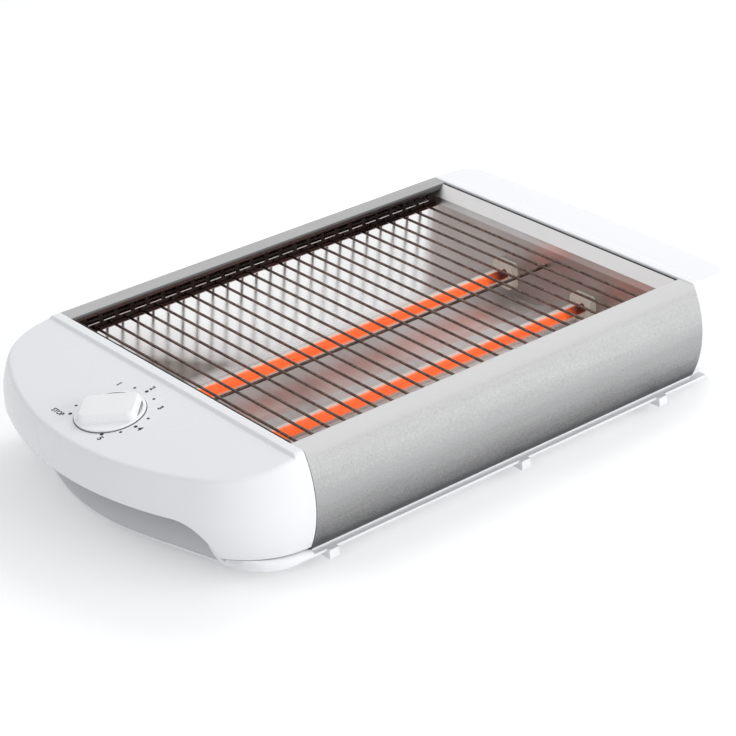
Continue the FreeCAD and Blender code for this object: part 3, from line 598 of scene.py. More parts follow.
def letter_mesh(text, size, radius, angle, name, turn, bold):
    """Flat printed character laid on the panel at a radius and angle about the knob."""
    curve = bpy.data.curves.new(name, "FONT")
    curve.body = text
    curve.size = size * MM
    curve.align_x = "CENTER"
    curve.align_y = "CENTER"
    curve.extrude = 0.02 * MM
    curve.offset = bold * MM
    obj = bpy.data.objects.new(name, curve)
    bpy.context.scene.collection.objects.link(obj)
    bpy.context.view_layer.update()
    mesh = bpy.data.meshes.new_from_object(obj.evaluated_get(
        bpy.context.evaluated_depsgraph_get()))
    bpy.data.objects.remove(obj)
    place = around_knob(radius, angle, 0.03)
    mesh.transform(place @ Matrix.Rotation(math.radians(turn), 4, "Z"))
    return on_panel(mesh)


def dot_mesh(radius, angle, size, name):
    """Printed dot: a thin disc with a rounded edge."""
    bm = bmesh.new()
    profile = ((size, 0.005), (size, 0.03), (size * 0.96, 0.045), (size * 0.5, 0.05))
    capped(bm, [circle(r, z, 24) for r, z in profile])
    mesh = finish_mesh(bm, name)
    mesh.transform(around_knob(radius, angle))
    return on_panel(mesh)


# Base shoulder, scoop liner carrying painted shade, and trims, among them strips of painted
# shadow

def base_line():
    """Outer line of the base under the control end, from the rear side round to the front."""
    half = 116.0
    sweep = math.radians(15.5)
    depth, nose_r, corner_r = 57.8, 150.0, 25.0
    start = X_CONTROL + 2.0
    tip = X_CONTROL - depth - nose_r * (1 / math.cos(sweep) - 1)
    back_x = tip + math.tan(sweep) * half
    corners = [((start, half), 0.0), ((back_x, half), corner_r), ((tip, 0.0), nose_r),
               ((back_x, -half), corner_r), ((start, -half), 0.0)]
    line = []
    for i, (corner, radius) in enumerate(corners):
        point = Vector(corner)
        if not radius:
            line.append(point)
            continue
        back = (Vector(corners[i - 1][0]) - point).normalized()
        ahead = (Vector(corners[i + 1][0]) - point).normalized()
        half_turn = (math.pi - back.angle(ahead)) / 2
        middle = (back + ahead).normalized()
        centre = point + middle * (radius / math.cos(half_turn))
        for k in range(25):
            a = half_turn * (k / 12 - 1)
            spoke = -middle * radius
            line.append(centre + Vector((spoke.x * math.cos(a) - spoke.y * math.sin(a),
                                         spoke.x * math.sin(a) + spoke.y * math.cos(a))))
    return line


def reach_line(line, start, way):
    """Distance from start to the line along a direction, or a short way behind it."""
    behind = -20.0
    best = None
    for a, b in zip(line[:-1], line[1:]):
        run = b - a
        det = way[0] * run.y - way[1] * run.x
        if abs(det) < 1e-9:
            continue
        gap = a - start
        t = (gap.x * run.y - gap.y * run.x) / det
        k = (gap.x * way[1] - gap.y * way[0]) / det
        if -1e-6 <= k <= 1 + 1e-6 and t > behind and (best is None or t < best):
            best = t
    return best


def shoulder_mesh(plan, low, side):
    """Rounded shoulder of the base between its rim and the housing's lower edge."""
    line = base_line()
    bm = bmesh.new()
    under, inset, rim_set, foot_z = 0.6, 1.1, 0.14, 10.8
    stations = []
    u = 0.3
    while True:
        p, n = plan.at(u)
        if p[1] + n[1] * barrel(low(u)) < SCOOP_HALF + 1.0:
            break
        stations.append(u)
        u += 1.0
    rows = []
    for u in stations:
        p, n = plan.at(u)
        p = Vector((p[0] + X_CONTROL, p[1]))
        z_top = low(u) - under
        s_rim = reach_line(line, p, n)
        s_foot = s_rim + rim_set
        # The section shrinks over the last few millimetres at either end.
        left = min(1.0, (stations[-1] - u) / 4.0)
        full = min(0.8 + 0.2 * smoothstep(u / 6.0), math.sqrt(1 - (1 - left) ** 2))
        s_top = s_foot + (barrel(z_top, inset) - s_foot) * full
        z_top = 11.0 + (z_top - 11.0) * full
        loop = [(s_rim - 1.6, 9.72), (s_rim - 0.25, 9.7), (s_rim + 0.06, 9.85), (s_foot, 10.15)]
        for i in range(13):
            t = math.pi / 2 * i / 12
            loop.append((s_foot + (s_top - s_foot) * (1 - math.cos(t)),
                         foot_z + (z_top - foot_z) * math.sin(t)))
        loop.append((s_top - 0.8, z_top - 0.5))
        rows.append([(p.x + n[0] * d, side * (p.y + n[1] * d), z) for d, z in loop])
    capped(bm, rows)
    return finish_mesh(bm, "base_shoulder", 50.0)


def shade_liner_mesh():
    """Thin skin on the recess behind the finger scoop, rolled over at its upper edge: a grey
    sheet that carries the recess's painted shade.
    """
    line = base_line()
    bm = bmesh.new()
    half, step = 94.2, 3.0
    # The skin's section, from its foot over the outside to the rolled top: (inset, z)
    section = ((0.55, 11.35), (0.1, 11.5), (-0.02, 12.2), (0.0, 20.0), (0.05, 30.0),
               (0.1, 37.5), (0.25, 39.0), (0.5, 39.7), (0.58, 39.7), (0.58, 25.0))
    points = []
    for a, b in zip(line[:-1], line[1:]):
        steps = max(1, int((b - a).length / step))
        points += [a.lerp(b, k / steps) for k in range(steps)]
    points = [q for q in points if abs(q.y) < half]
    rows = []
    for i, q in enumerate(points):
        run = points[min(i + 1, len(points) - 1)] - points[max(i - 1, 0)]
        n = Vector((-run.y, run.x)).normalized()
        if n.x > 0:
            n = -n
        rows.append([(q.x - n.x * inset, q.y - n.y * inset, z) for inset, z in section])
    capped(bm, rows)
    return finish_mesh(bm, "scoop_shade_liner", 50.0)


def bar_mesh(bars, name):
    """Small round-edged bars along X, each given as (x0, x1, y, z, height, depth)."""
    end, end_size, square = 0.25, 0.55, 0.6
    bm = bmesh.new()
    for x0, x1, y, z, height, depth in bars:
        rows = []
        for x, k in ((x0, end_size), (x0 + end, 1.0), (x1 - end, 1.0), (x1, end_size)):
            row = []
            for i in range(12):
                a = 2 * math.pi * i / 12
                c, d = math.cos(a), math.sin(a)
                row.append((x, y + math.copysign(abs(c) ** square, c) * depth / 2 * k,
                            z + math.copysign(abs(d) ** square, d) * height / 2 * k))
            rows.append(row)
        capped(bm, rows)
    return finish_mesh(bm, name, 60.0)


def shadow_strip_mesh(x, z, half, width, height, name):
    """Dark strip along Y with a rounded top, laid in a joint as painted shadow."""
    crown = 0.4
    bm = bmesh.new()
    rows = []
    for y, k in ((-half, 0.7), (-half + 0.5, 1.0), (0.0, 1.0), (half - 0.5, 1.0), (half, 0.7)):
        row = [(x - width / 2 * k, y, z - height), (x + width / 2 * k, y, z - height)]
        for i in range(9):
            a = math.pi * i / 8
            row.append((x + width / 2 * k * math.cos(a), y, z - crown + crown * k * math.sin(a)))
        rows.append(row)
    capped(bm, rows)
    return finish_mesh(bm, name, 50.0)


# Heating coils

def tube_mesh(points, radius, sides, name):
    """Round wire swept along points in millimetres, with parallel-transported rings."""
    pts = np.array(points, float)
    tangents = np.gradient(pts, axis=0)
    tangents /= np.linalg.norm(tangents, axis=1)[:, None]
    normal = np.cross(tangents[0], (0.3, 0.5, 0.8))
    normal /= np.linalg.norm(normal)
    bm = bmesh.new()
    rows = []
    for p, t in zip(pts, tangents):
        normal = normal - t * normal.dot(t)
        normal /= np.linalg.norm(normal)
        other = np.cross(t, normal)
        row = []
        for k in range(sides):
            a = 2 * math.pi * k / sides
            row.append(tuple(p + radius * (math.cos(a) * normal + math.sin(a) * other)))
        rows.append(row)
    capped(bm, rows)
    return finish_mesh(bm, name, 80.0)


def coil_points(side):
    """Close winding on the tube's axis with a straight tail at each end."""
    y, z = side * TUBE_Y, TUBE_Z
    x0, x1 = X_CONTROL + 46.0, X_CONTROL + 258.0
    tail_start, tail_end, step_in = -112.5, 144.5, 4.0
    turns, per_turn, radius = 128, 14, 2.7
    points = []
    for x in np.linspace(tail_start, x0 - step_in, 12):
        points.append((x, y, z))
    for k in range(turns * per_turn + 1):
        t = k / (turns * per_turn)
        grow = min(1.0, k / per_turn, (turns * per_turn - k) / per_turn)
        a = 2 * math.pi * k / per_turn
        r = radius * (0.35 + 0.65 * grow)
        points.append((x0 + (x1 - x0) * t, y + r * math.cos(a), z + r * math.sin(a)))
    for x in np.linspace(x1 + step_in, tail_end, 8):
        points.append((x, y, z))
    return points


# Materials

def srgb(r, g, b):
    """Linear colour of a display colour given in 0 to 255."""
    out = []
    for c in (r, g, b):
        c /= 255.0
        out.append(c / 12.92 if c <= 0.04045 else ((c + 0.055) / 1.055) ** 2.4)
    return tuple(out) + (1.0,)


def node(tree, kind, **values):
    """A shader node with values set on its own sockets."""
    n = tree.nodes.new("ShaderNode" + kind)
    for key, value in values.items():
        n.inputs[key.replace("_", " ")].default_value = value
    return n


def empty_tree(block):
    """The cleared node tree of a material or world."""
    block.use_nodes = True
    block.node_tree.nodes.clear()
    return block.node_tree


class Mat:
    """Small helper round a node tree with one principled shader."""

    def __init__(self, name, color, rough, metal=0.0, **sockets):
        self.m = bpy.data.materials.new(name)
        self.t = empty_tree(self.m)
        out = node(self.t, "OutputMaterial")
        self.s = node(self.t, "BsdfPrincipled", Base_Color=color, Roughness=rough,
                      Metallic=metal, **sockets)
        self.link(self.s.outputs[0], out.inputs["Surface"])
        self.coord = node(self.t, "TexCoord")

    def link(self, a, b):
        self.t.links.new(a, b)

    def mapped(self, scale):
        """Object coordinates stretched by a scale along each axis."""
        n = node(self.t, "Mapping", Scale=scale)
        self.link(self.coord.outputs["Object"], n.inputs["Vector"])
        return n.outputs[0]

    def noise(self, scale, detail=3.0, rough=0.5, vector=None):
        n = node(self.t, "TexNoise", Scale=scale, Detail=detail, Roughness=rough)
        self.link(vector or self.coord.outputs["Object"], n.inputs["Vector"])
        return n.outputs["Fac"]

    def ramp(self, fac, stops):
        n = node(self.t, "ValToRGB")
        elements = n.color_ramp.elements
        while len(elements) < len(stops):
            elements.new(0.5)
        for e, (place, color) in zip(elements, stops):
            e.position = place
            e.color = color
        self.link(fac, n.inputs["Fac"])
        return n.outputs["Color"]

    def remap(self, fac, low, high, to_low=0.0, to_high=1.0):
        n = node(self.t, "MapRange", From_Min=low, From_Max=high, To_Min=to_low, To_Max=to_high)
        self.link(fac, n.inputs["Value"])
        return n.outputs["Result"]

    def math(self, op, a, b=0.0):
        n = node(self.t, "Math")
        n.operation = op
        for socket, value in zip(n.inputs, (a, b)):
            if isinstance(value, (int, float)):
                socket.default_value = value
            else:
                self.link(value, socket)
        return n.outputs[0]

    def bump(self, height, distance, strength=1.0, base=None):
        n = node(self.t, "Bump", Distance=distance, Strength=strength)
        self.link(height, n.inputs["Height"])
        if base is not None:
            self.link(base, n.inputs["Normal"])
        return n.outputs["Normal"]

    def soft_edges(self, radius):
        """Rounds the look of small hard edges."""
        n = node(self.t, "Bevel", Radius=radius)
        n.samples = 4
        return n.outputs["Normal"]

    def axis(self, name):
        n = node(self.t, "SeparateXYZ")
        self.link(self.coord.outputs["Object"], n.inputs[0])
        return n.outputs[name]


def moulded_plastic(name, color, dark, rough, edges=0.0):
    """Satin moulded plastic: faint tone drift, fine grain and slightly uneven gloss."""
    m = Mat(name, color, rough, 0.0, IOR=1.5)
    drift = m.noise(7.0, 2.0, 0.5)
    m.link(m.ramp(drift, [(0.3, dark), (0.7, color)]), m.s.inputs["Base Color"])
    m.link(m.remap(m.noise(18.0, 2.0, 0.5), 0.3, 0.7, rough - 0.015, rough + 0.015),
           m.s.inputs["Roughness"])
    base = m.soft_edges(edges) if edges else None
    grain = m.bump(m.noise(300.0, 2.0, 0.5), 0.000004, 0.5, base)
    m.link(grain, m.s.inputs["Normal"])
    return m.m


def recess_painted_shade():
    """Matt recess under the housing in painted shade: grey, and darker toward its upper edge as
    painted shadow under that edge.
    """
    m = Mat("recess_painted_shade", srgb(190, 191, 194), 0.5, 0.0, IOR=1.5)
    # Painted shadow: the grey darkens upward, toward the housing's edge.
    level = m.remap(m.axis("Z"), 0.012, 0.036, 0.0, 0.9)
    drift = m.math("ADD", level, m.math("MULTIPLY", m.noise(30.0, 3.0, 0.5), 0.1))
    m.link(m.ramp(drift, [(0.0, srgb(204, 205, 208)), (0.45, srgb(182, 183, 186)),
                          (1.0, srgb(128, 129, 132))]), m.s.inputs["Base Color"])
    m.link(m.remap(m.noise(40.0, 2.0, 0.5), 0.3, 0.7, 0.45, 0.55), m.s.inputs["Roughness"])
    m.link(m.bump(m.noise(300.0, 2.0, 0.5), 0.000004, 0.5), m.s.inputs["Normal"])
    return m.m


def brushed_steel(name, flange):
    """Satin steel: pitted grain, faint long streaks, painted reflection darkening it downward, a
    painted lighter or darker tone for its flange, and painted shade on the lip's inner face.
    """
    m = Mat(name, (0.42, 0.42, 0.422, 1), 0.36, 1.0)
    streak = m.noise(180.0, 3.0, 0.6, m.mapped((0.05, 1.0, 1.0)))
    speck = m.noise(900.0, 2.0, 0.6)
    grain = m.math("ADD", m.math("MULTIPLY", streak, 0.1), m.math("MULTIPLY", speck, 0.26))
    # Painted reflection: the steel darkens toward the bottom, and the top gets the flange's
    # painted tone.
    level = m.math("ADD", m.remap(m.axis("Z"), 0.014, 0.0645, -0.2, 0.36),
                   m.remap(m.axis("Z"), 0.0665, 0.0695, 0.0, flange))
    # Painted shade: the lip's inner face, toward the chamber, darker.
    across = m.math("ABSOLUTE", m.axis("Y"))
    level = m.math("ADD", level, m.remap(across, 0.1004, 0.1013, -0.7, 0.0))
    tone = m.math("ADD", grain, level)
    m.link(m.ramp(tone, [(0.0, (0.15, 0.15, 0.151, 1)), (0.15, (0.31, 0.31, 0.312, 1)),
                         (0.36, (0.46, 0.46, 0.462, 1)), (0.55, (0.64, 0.64, 0.642, 1)),
                         (0.85, (0.7, 0.7, 0.702, 1))]), m.s.inputs["Base Color"])
    m.link(m.remap(m.noise(26.0, 4.0, 0.6), 0.3, 0.7, 0.32, 0.42), m.s.inputs["Roughness"])
    pits = m.bump(m.noise(900.0, 3.0, 0.6), 0.00002, 0.6)
    lines = m.bump(m.noise(500.0, 2.0, 0.5, m.mapped((0.03, 1.0, 1.0))), 0.00002, 0.4, pits)
    m.link(lines, m.s.inputs["Normal"])
    return m.m


def polished_sheet():
    """Bright formed sheet: clear slopes, a floor dulled by heat, smears and soft ripples, with
    painted shade toward the control end and painted shadow along the upper edge.
    """
    m = Mat("polished_sheet", (0.88, 0.87, 0.87, 1), 0.2, 1.0)
    across = m.math("ABSOLUTE", m.axis("Y"))
    slope = m.remap(across, 0.06, 0.072, 0.0, 1.0)
    smear = m.noise(16.0, 4.0, 0.6, m.mapped((1.0, 0.35, 1.0)))
    clear = m.math("ADD", m.math("MULTIPLY", smear, 0.4), m.math("MULTIPLY", slope, 0.45))
    # Painted shade and reflection of the end wall: darker brown toward the control end, more so
    # low on the slopes; painted shadow: black along the upper edge, under the rail.
    lean = m.math("ADD", m.axis("X"), m.math("MULTIPLY", m.axis("Z"), 3.0))
    depth = m.math("ADD", m.math("MULTIPLY", slope, 0.74), 0.14)
    brown = m.math("MULTIPLY", m.remap(lean, 0.025, 0.1, 1.0, 0.0), depth)
    # Painted shadow: near black along the upper edge, under the rail, joined with the painted
    # brown shade.
    painted_shade = m.math("MULTIPLY", m.math("SUBTRACT", 1.0, brown),
                    m.remap(m.axis("Z"), 0.0562, 0.057, 1.0, 0.02))
    clear = m.math("MULTIPLY", clear, painted_shade)
    m.link(m.ramp(clear, [(0.0, (0.025, 0.02, 0.019, 1)), (0.06, (0.2, 0.165, 0.15, 1)),
                          (0.15, (0.58, 0.55, 0.54, 1)), (0.26, (0.76, 0.74, 0.74, 1)),
                          (0.6, (0.93, 0.92, 0.925, 1))]), m.s.inputs["Base Color"])
    m.link(m.math("ADD", m.remap(m.noise(40.0, 4.0, 0.6), 0.3, 0.7, 0.0, 0.08),
                  m.remap(slope, 0.0, 1.0, 0.55, 0.12)), m.s.inputs["Roughness"])
    ripple = m.bump(m.noise(22.0, 1.0, 0.5), 0.0004, 0.3)
    fine = m.bump(m.noise(500.0, 2.0, 0.5, m.mapped((0.1, 1.0, 1.0))), 0.00001, 0.5, ripple)
    m.link(fine, m.s.inputs["Normal"])
    return m.m


def end_sheet():
    """Satin end wall of the recess, brownish and duller than the reflector, with a painted
    lighter band along its top.
    """
    m = Mat("end_sheet", (0.5, 0.45, 0.43, 1), 0.4, 1.0)
    smear = m.noise(22.0, 4.0, 0.6, m.mapped((1.0, 0.4, 1.0)))
    # Painted light: a lighter band along the top of the wall.
    painted_light_band = m.remap(m.axis("Z"), 0.0585, 0.0595, 0.0, 0.6)
    tone = m.math("ADD", m.math("MULTIPLY", smear, 0.4), painted_light_band)
    m.link(m.ramp(tone, [(0.1, (0.4, 0.34, 0.32, 1)), (0.3, (0.54, 0.49, 0.475, 1)),
                         (0.8, (0.7, 0.69, 0.69, 1))]), m.s.inputs["Base Color"])
    m.link(m.remap(m.noise(60.0, 3.0, 0.6), 0.3, 0.7, 0.34, 0.46), m.s.inputs["Roughness"])
    m.link(m.bump(m.noise(300.0, 2.0, 0.5), 0.00001, 0.5), m.s.inputs["Normal"])
    return m.m


def dark_metal(name, color, light, rough, metal=0.7):
    """Darkened sheet or wire with brown scale and worn lighter spots."""
    m = Mat(name, color, rough, metal)
    scale = m.noise(240.0, 4.0, 0.65)
    m.link(m.ramp(scale, [(0.35, color), (0.7, light)]), m.s.inputs["Base Color"])
    m.link(m.remap(scale, 0.3, 0.7, rough - 0.08, rough + 0.14), m.s.inputs["Roughness"])
    m.link(m.bump(m.noise(900.0, 3.0, 0.6), 0.00003, 0.7), m.s.inputs["Normal"])
    return m.m


def quartz():
    """Frosted quartz lit from inside by the coil: pale rim, glossy skin, and a far end in painted
    shade, dark red where it enters its holder.
    """
    m = Mat("quartz", srgb(236, 214, 200), 0.12, 0.0, IOR=1.46)
    x = m.axis("X")
    along = m.math("MULTIPLY", m.remap(x, -0.106, -0.092, 0.0, 1.0),
                   m.remap(x, 0.126, 0.138, 1.0, 0.0))
    facing = node(m.t, "LayerWeight", Blend=0.5).outputs["Facing"]
    core = m.math("MULTIPLY", along, m.remap(facing, 0.24, 0.44, 1.0, 0.0))
    # One faint wave of light for each turn of the coil.
    turn_rate = 3794.0
    wave = m.math("SINE", m.math("MULTIPLY", x, turn_rate))
    beat = m.math("ADD", m.math("MULTIPLY", wave, 0.05), 0.97)
    blotch = m.remap(m.noise(34.0, 2.0, 0.5), 0.3, 0.7, 0.9, 1.08)
    glow = m.math("MULTIPLY", m.math("MULTIPLY", core, beat), blotch)
    # Painted shade: the far end turns dark red, as inside the holder's opening.
    painted_shade_end = m.math("MULTIPLY", m.remap(x, 0.127, 0.134, 0.0, 0.9),
                  m.remap(facing, 0.24, 0.4, 1.0, 0.0))
    m.link(m.ramp(m.math("ADD", m.math("MULTIPLY", core, 0.45), painted_shade_end),
                  [(0.0, srgb(242, 228, 220)), (0.3, srgb(236, 142, 104)),
                   (0.45, srgb(150, 62, 34)), (0.9, srgb(96, 36, 24))]),
           m.s.inputs["Base Color"])
    m.s.inputs["Emission Color"].default_value = (1.0, 0.13, 0.022, 1)
    m.link(m.math("MULTIPLY", glow, 0.9), m.s.inputs["Emission Strength"])
    m.link(m.bump(m.noise(160.0, 2.0, 0.5), 0.00003, 0.5), m.s.inputs["Normal"])
    return m.m


def glowing_wire():
    """Red-hot resistance wire with small differences in its heat."""
    m = Mat("heating_wire", (0.25, 0.1, 0.05, 1), 0.6, 0.6)
    heat = m.ramp(m.noise(80.0, 2.0, 0.5), [(0.3, (1.0, 0.14, 0.02, 1)),
                                             (0.7, (1.0, 0.32, 0.07, 1))])
    m.link(heat, m.s.inputs["Emission Color"])
    m.s.inputs["Emission Strength"].default_value = 2.0
    return m.m


def plain(name, color, dark, rough, metal, scale, bump=0.00002):
    """Simple finish with small variation in tone, gloss and relief."""
    m = Mat(name, color, rough, metal)
    n = m.noise(scale, 4.0, 0.6)
    m.link(m.ramp(n, [(0.3, dark), (0.7, color)]), m.s.inputs["Base Color"])
    m.link(m.remap(n, 0.3, 0.7, max(0.02, rough - 0.07), rough + 0.07), m.s.inputs["Roughness"])
    m.link(m.bump(m.noise(scale * 6, 2.0, 0.5), bump, 0.7), m.s.inputs["Normal"])
    return m.m


white = moulded_plastic("white_plastic", srgb(241, 242, 244), srgb(240, 241, 243), 0.27)
white_hard = moulded_plastic("white_plastic_edges", srgb(241, 242, 244), srgb(240, 241, 243), 0.3,
                             0.0005)
# Grey of the recess behind the scoop: painted shade.
liner_painted_shade = recess_painted_shade()
knob_white = moulded_plastic("knob_white", srgb(248, 249, 250), srgb(247, 248, 249), 0.24)
# Lit and shaded copies of one steel: painted light on the front flange, painted shade on the rear
# flange.
steel = brushed_steel("brushed_steel", 0.3)
rear_steel_painted_shade = brushed_steel("rear_brushed_steel", -0.17)
sheet = polished_sheet()
wall_sheet = end_sheet()
# Near-black rail: its own dark finish, darkened further as painted shade under the flange lip.
rail_dark_and_painted_shade = dark_metal("perforated_steel", (0.012, 0.009, 0.009, 1), (0.05, 0.04, 0.037, 1), 0.4)
wire_metal = dark_metal("dark_wire", (0.075, 0.05, 0.043, 1), (0.2, 0.14, 0.118, 1), 0.22, 1.0)
bright_edge = plain("slot_edge", (0.72, 0.7, 0.68, 1), (0.6, 0.58, 0.56, 1), 0.4, 0.6, 300.0)
print_ink = plain("dial_print", srgb(30, 31, 33), srgb(22, 23, 25), 0.5, 0.0, 400.0)
# Painted shadow: the dark grey of the ring round the knob.
shadow_ring_grey = plain("knob_shadow_ring", srgb(120, 121, 124), srgb(108, 109, 112), 0.6, 0.0, 300.0)
ceramic = plain("ceramic", srgb(255, 250, 240), srgb(246, 236, 220), 0.55, 0.0, 180.0, 0.00004)
rubber = plain("rubber", srgb(14, 14, 15), srgb(9, 9, 10), 0.7, 0.0, 260.0, 0.00005)
zinc = plain("steel_parts", (0.55, 0.55, 0.56, 1), (0.4, 0.4, 0.42, 1), 0.35, 1.0, 150.0)
case = plain("timer_case", srgb(60, 58, 55), srgb(46, 44, 42), 0.5, 0.0, 90.0)
brass = plain("brass", (0.72, 0.5, 0.2, 1), (0.55, 0.36, 0.14, 1), 0.28, 1.0, 120.0)
gland = plain("gland_plastic", srgb(222, 224, 226), srgb(212, 214, 217), 0.4, 0.0, 140.0)
lead = plain("lead_sleeve", srgb(226, 220, 206), srgb(208, 200, 184), 0.6, 0.0, 300.0, 0.00005)
glass = quartz()
hot = glowing_wire()

by_slot = {
    "white_plastic": white_hard, "brushed_steel": steel, "rubber": rubber,
    "steel_parts": zinc, "perforated_steel": rail_dark_and_painted_shade, "dark_wire": wire_metal,
    "polished_sheet": sheet, "quartz": glass, "heating_wire": hot, "ceramic": ceramic,
    "timer_case": case, "brass": brass, "gland_plastic": gland, "lead_sleeve": lead,
}


def dress(obj, material):
    """Gives an object one material."""
    obj.data.materials.clear()
    obj.data.materials.append(material)


for entry in frame["record"]["subparts"]:
    obj = nodes[entry["node"]]
    material = by_slot[entry["material_slot"]]
    if entry["node"].endswith("end_wall"):
        material = wall_sheet
    if obj.material_slots:
        for s in obj.material_slots:
            s.material = material
    else:
        obj.data.materials.append(material)


# The object's own pieces

housing_plan = EndPlan(depth=67.5, nose_r=196.0, corner_r=43.0)
shaft_hole = (-KNOB_SETBACK, 4.0)
gland_x, gland_z, gland_radius = X_CONTROL - 18.0, 28.0, 5.0
edge, low = low_edge_housing(housing_plan)
mesh = end_shell(housing_plan, edge, low, TOP, math.tan(TILT), "housing_shell", shaft_hole)
housing = new_object("housing_shell", turn_mesh(mesh, X_CONTROL))
bored(housing, gland_x, gland_z, gland_radius)
dress(housing, white)
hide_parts("control_housing")

for side, name in ((1, "rear"), (-1, "front")):
    shoulder = new_object(name + "_base_shoulder", shoulder_mesh(housing_plan, low, side))
    dress(shoulder, white)

# Grey skin over the recess: a sheet of painted shade.
liner = new_object("scoop_shade_liner", shade_liner_mesh())
dress(liner, liner_painted_shade)

cap_plan = EndPlan(depth=33.0, nose_r=2500.0, corner_r=12.0)
edge, low = low_edge_level(cap_plan, LOW_EDGE)
mesh = end_shell(cap_plan, edge, low, TOP, 0.0, "cap_shell")
cap = new_object("cap_shell", turn_mesh(mesh, X_FAR, True))
dress(cap, white)
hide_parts("end_cap")

for side, name in ((1, "rear"), (-1, "front")):
    panel = steel_side(side, name + "_steel_side")
    # The rear side takes the copy with painted shade on its flange, the front the one with
    # painted light.
    dress(panel, rear_steel_painted_shade if side > 0 else steel)
    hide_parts(name + "_side_panel")
    coil = new_object(name + "_coil", tube_mesh(coil_points(side), COIL_WIRE, 8, name + "_coil"))
    dress(coil, hot)
    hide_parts(name + "_heating_coil")

    # A bright pressed lip over each slot of the rail, one slot for each wire.
    bars = []
    for i in range(WIRES):
        x = X_CONTROL + WIRE_FIRST + WIRE_PITCH * i
        bars.append((x - 4.0, x + 4.0, side * 101.05, 61.75, 0.6, 0.9))
    lips = new_object(name + "_slot_lips", bar_mesh(bars, name + "_slot_lips"))
    dress(lips, bright_edge)

# Black rubber strips in the joints at both ends: painted shadow of the gaps.
for name, x, z in (("control_shadow_strip", X_CONTROL + 0.75, 70.05), ("far_shadow_strip", 156.5, 69.3)):
    strip = new_object(name, shadow_strip_mesh(x, z, 99.6, 1.2, 1.1, name))
    dress(strip, rubber)

# Dark grey ring on the panel round the disc: painted shadow of the gap under the knob.
gap = new_object("knob_shadow_ring", ring_mesh(19.1, 19.85, "knob_shadow_ring"))
dress(gap, shadow_ring_grey)

knob = new_object("knob_moulding", on_panel(knob_mesh()), "knob")
dress(knob, knob_white)
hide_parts("timer_knob")

# Printed marks: dots by angle, radius and size, then characters by angle and radius.
marks = []
dots = [(131.0, 22.0, 1.1), (110.5, 22.3, 0.85), (87.0, 20.3, 0.85), (64.0, 20.3, 0.85),
        (22.9, 24.7, 0.85), (2.9, 24.8, 1.1), (-19.6, 24.2, 0.85), (-66.0, 23.5, 0.85),
        (-88.0, 22.6, 1.1), (-109.9, 21.8, 0.85), (-137.0, 20.7, 1.1)]
for i, (angle, radius, size) in enumerate(dots):
    marks.append(dot_mesh(radius, angle, size, "dot_%d" % i))
labels = [("1", 45.6, 28.0), ("2", 2.9, 28.6), ("3", -42.6, 27.0), ("4", -88.0, 26.2),
          ("5", -137.0, 24.4)]
for text, angle, radius in labels:
    marks.append(letter_mesh(text, 4.6, radius, angle, "label_" + text, -90.0, 0.2))
marks.append(letter_mesh("STOP", 4.0, 29.6, 127.0, "label_stop", -90.0, 0.14))
for mark_mesh in marks:
    mark = new_object("print_" + mark_mesh.name.split(".")[0], mark_mesh)
    dress(mark, print_ink)


# Camera

IMAGE_SIZE = 736.0
FOCAL_PIXELS = 2405.49
SENSOR = 36.0
CAMERA_PLACE = (-0.75003, -0.96358, 0.65221)

az, el, roll = math.radians(-38.2254), math.radians(26.94), math.radians(-2.742)
forward = Vector((-math.sin(az) * math.cos(el), math.cos(az) * math.cos(el), -math.sin(el)))
right = Vector((math.cos(az), math.sin(az), 0.0))
upward = right.cross(forward)
cam_x = math.cos(roll) * right + math.sin(roll) * upward
cam_y = -math.sin(roll) * right + math.cos(roll) * upward
cam_z = -forward
camera_data = bpy.data.cameras.new("camera")
camera_data.sensor_width = SENSOR
camera_data.lens = FOCAL_PIXELS * SENSOR / IMAGE_SIZE
camera_data.clip_end = 50.0
camera = bpy.data.objects.new("camera", camera_data)
camera.matrix_world = Matrix(((cam_x.x, cam_y.x, cam_z.x, CAMERA_PLACE[0]),
                              (cam_x.y, cam_y.y, cam_z.y, CAMERA_PLACE[1]),
                              (cam_x.z, cam_y.z, cam_z.z, CAMERA_PLACE[2]),
                              (0, 0, 0, 1)))
bpy.context.scene.collection.objects.link(camera)
bpy.context.scene.camera = camera


# Floor, backdrop and light

def seen_directly(tree):
    """1 for camera, glossy and transmission rays, so metal and glass show the backdrop too."""
    path = node(tree, "LightPath")
    seen = path.outputs["Is Camera Ray"]
    for kind in ("Is Glossy Ray", "Is Transmission Ray"):
        both = node(tree, "Math")
        both.operation = "ADD"
        both.use_clamp = True
        tree.links.new(seen, both.inputs[0])
        tree.links.new(path.outputs[kind], both.inputs[1])
        seen = both.outputs[0]
    return seen


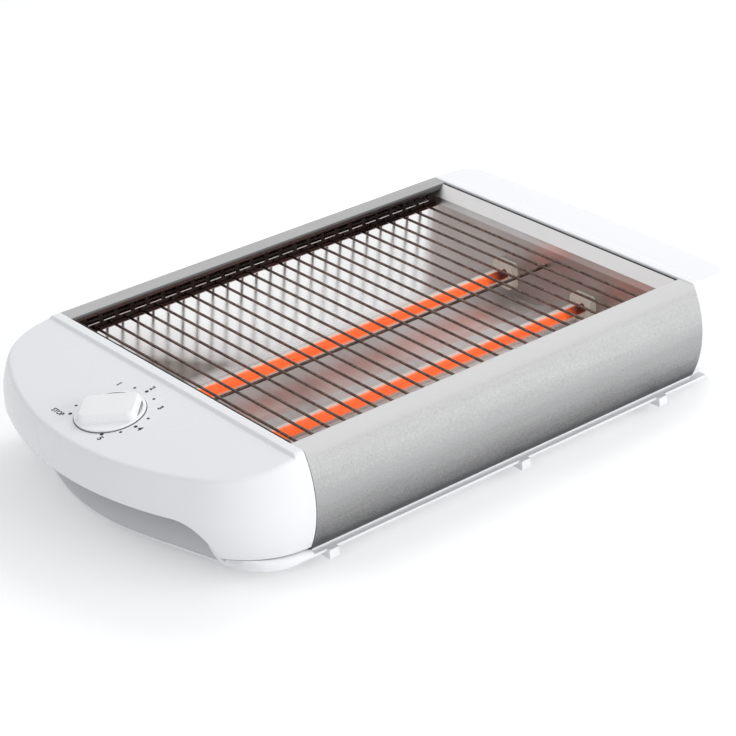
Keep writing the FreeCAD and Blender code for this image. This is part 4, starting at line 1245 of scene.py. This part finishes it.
FLOOR = 6.0
floor_mesh = bpy.data.meshes.new("floor")
floor_mesh.from_pydata([(-FLOOR, -FLOOR, 0), (FLOOR, -FLOOR, 0), (FLOOR, FLOOR, 0),
                        (-FLOOR, FLOOR, 0)], [], [(0, 1, 2, 3)])
floor = bpy.data.objects.new("floor", floor_mesh)
bpy.context.scene.collection.objects.link(floor)
floor_mat = bpy.data.materials.new("floor")
tree = empty_tree(floor_mat)
out = node(tree, "OutputMaterial")
add = node(tree, "AddShader")
diffuse = node(tree, "BsdfDiffuse", Color=(0.9, 0.9, 0.9, 1))
glow = node(tree, "Emission", Color=(1, 1, 1, 1))
level = node(tree, "Math")
level.operation = "MULTIPLY"
# The floor's own white grows with distance from the object, so no horizon shows.
coord = node(tree, "TexCoord")
reach = node(tree, "VectorMath")
reach.operation = "LENGTH"
fade = node(tree, "MapRange", From_Min=0.9, From_Max=2.6, To_Min=0.28, To_Max=0.5)
for a, b in ((coord.outputs["Object"], reach.inputs[0]),
             (reach.outputs["Value"], fade.inputs["Value"]),
             (seen_directly(tree), level.inputs[0]),
             (fade.outputs["Result"], level.inputs[1]),
             (level.outputs[0], glow.inputs["Strength"]),
             (diffuse.outputs[0], add.inputs[0]),
             (glow.outputs[0], add.inputs[1]),
             (add.outputs[0], out.inputs["Surface"])):
    tree.links.new(a, b)
floor_mesh.materials.append(floor_mat)

world = bpy.data.worlds.new("world")
bpy.context.scene.world = world
tree = empty_tree(world)
out = node(tree, "OutputWorld")
white_bg = node(tree, "Background", Color=(1, 1, 1, 1), Strength=1.0)
soft_bg = node(tree, "Background", Color=(0.97, 0.985, 1.0, 1), Strength=0.6)
mix = node(tree, "MixShader")
for a, b in ((seen_directly(tree), mix.inputs[0]), (soft_bg.outputs[0], mix.inputs[1]),
             (white_bg.outputs[0], mix.inputs[2]), (mix.outputs[0], out.inputs["Surface"])):
    tree.links.new(a, b)


def area(name, place, target, size, power):
    """Rectangular lamp aimed at a point and left out of reflections."""
    data = bpy.data.lights.new(name, "AREA")
    data.shape = "RECTANGLE"
    data.size, data.size_y = size
    data.energy = power
    obj = bpy.data.objects.new(name, data)
    obj.location = place
    aim = Vector(target) - Vector(place)
    obj.rotation_euler = aim.to_track_quat("-Z", "Y").to_euler()
    obj.visible_glossy = False
    bpy.context.scene.collection.objects.link(obj)


area("key", (0.8, -1.75, 0.65), (0.0, 0, 0.03), (1.8, 0.9), 19.5)
area("left", (-1.5, -0.9, 0.6), (-0.1, 0, 0.03), (1.0, 0.8), 2.4)
area("right", (0.6, 0.15, 0.8), (0.17, 0, 0.05), (0.5, 0.5), 3.2)

bpy.context.scene.view_settings.view_transform = "Standard"
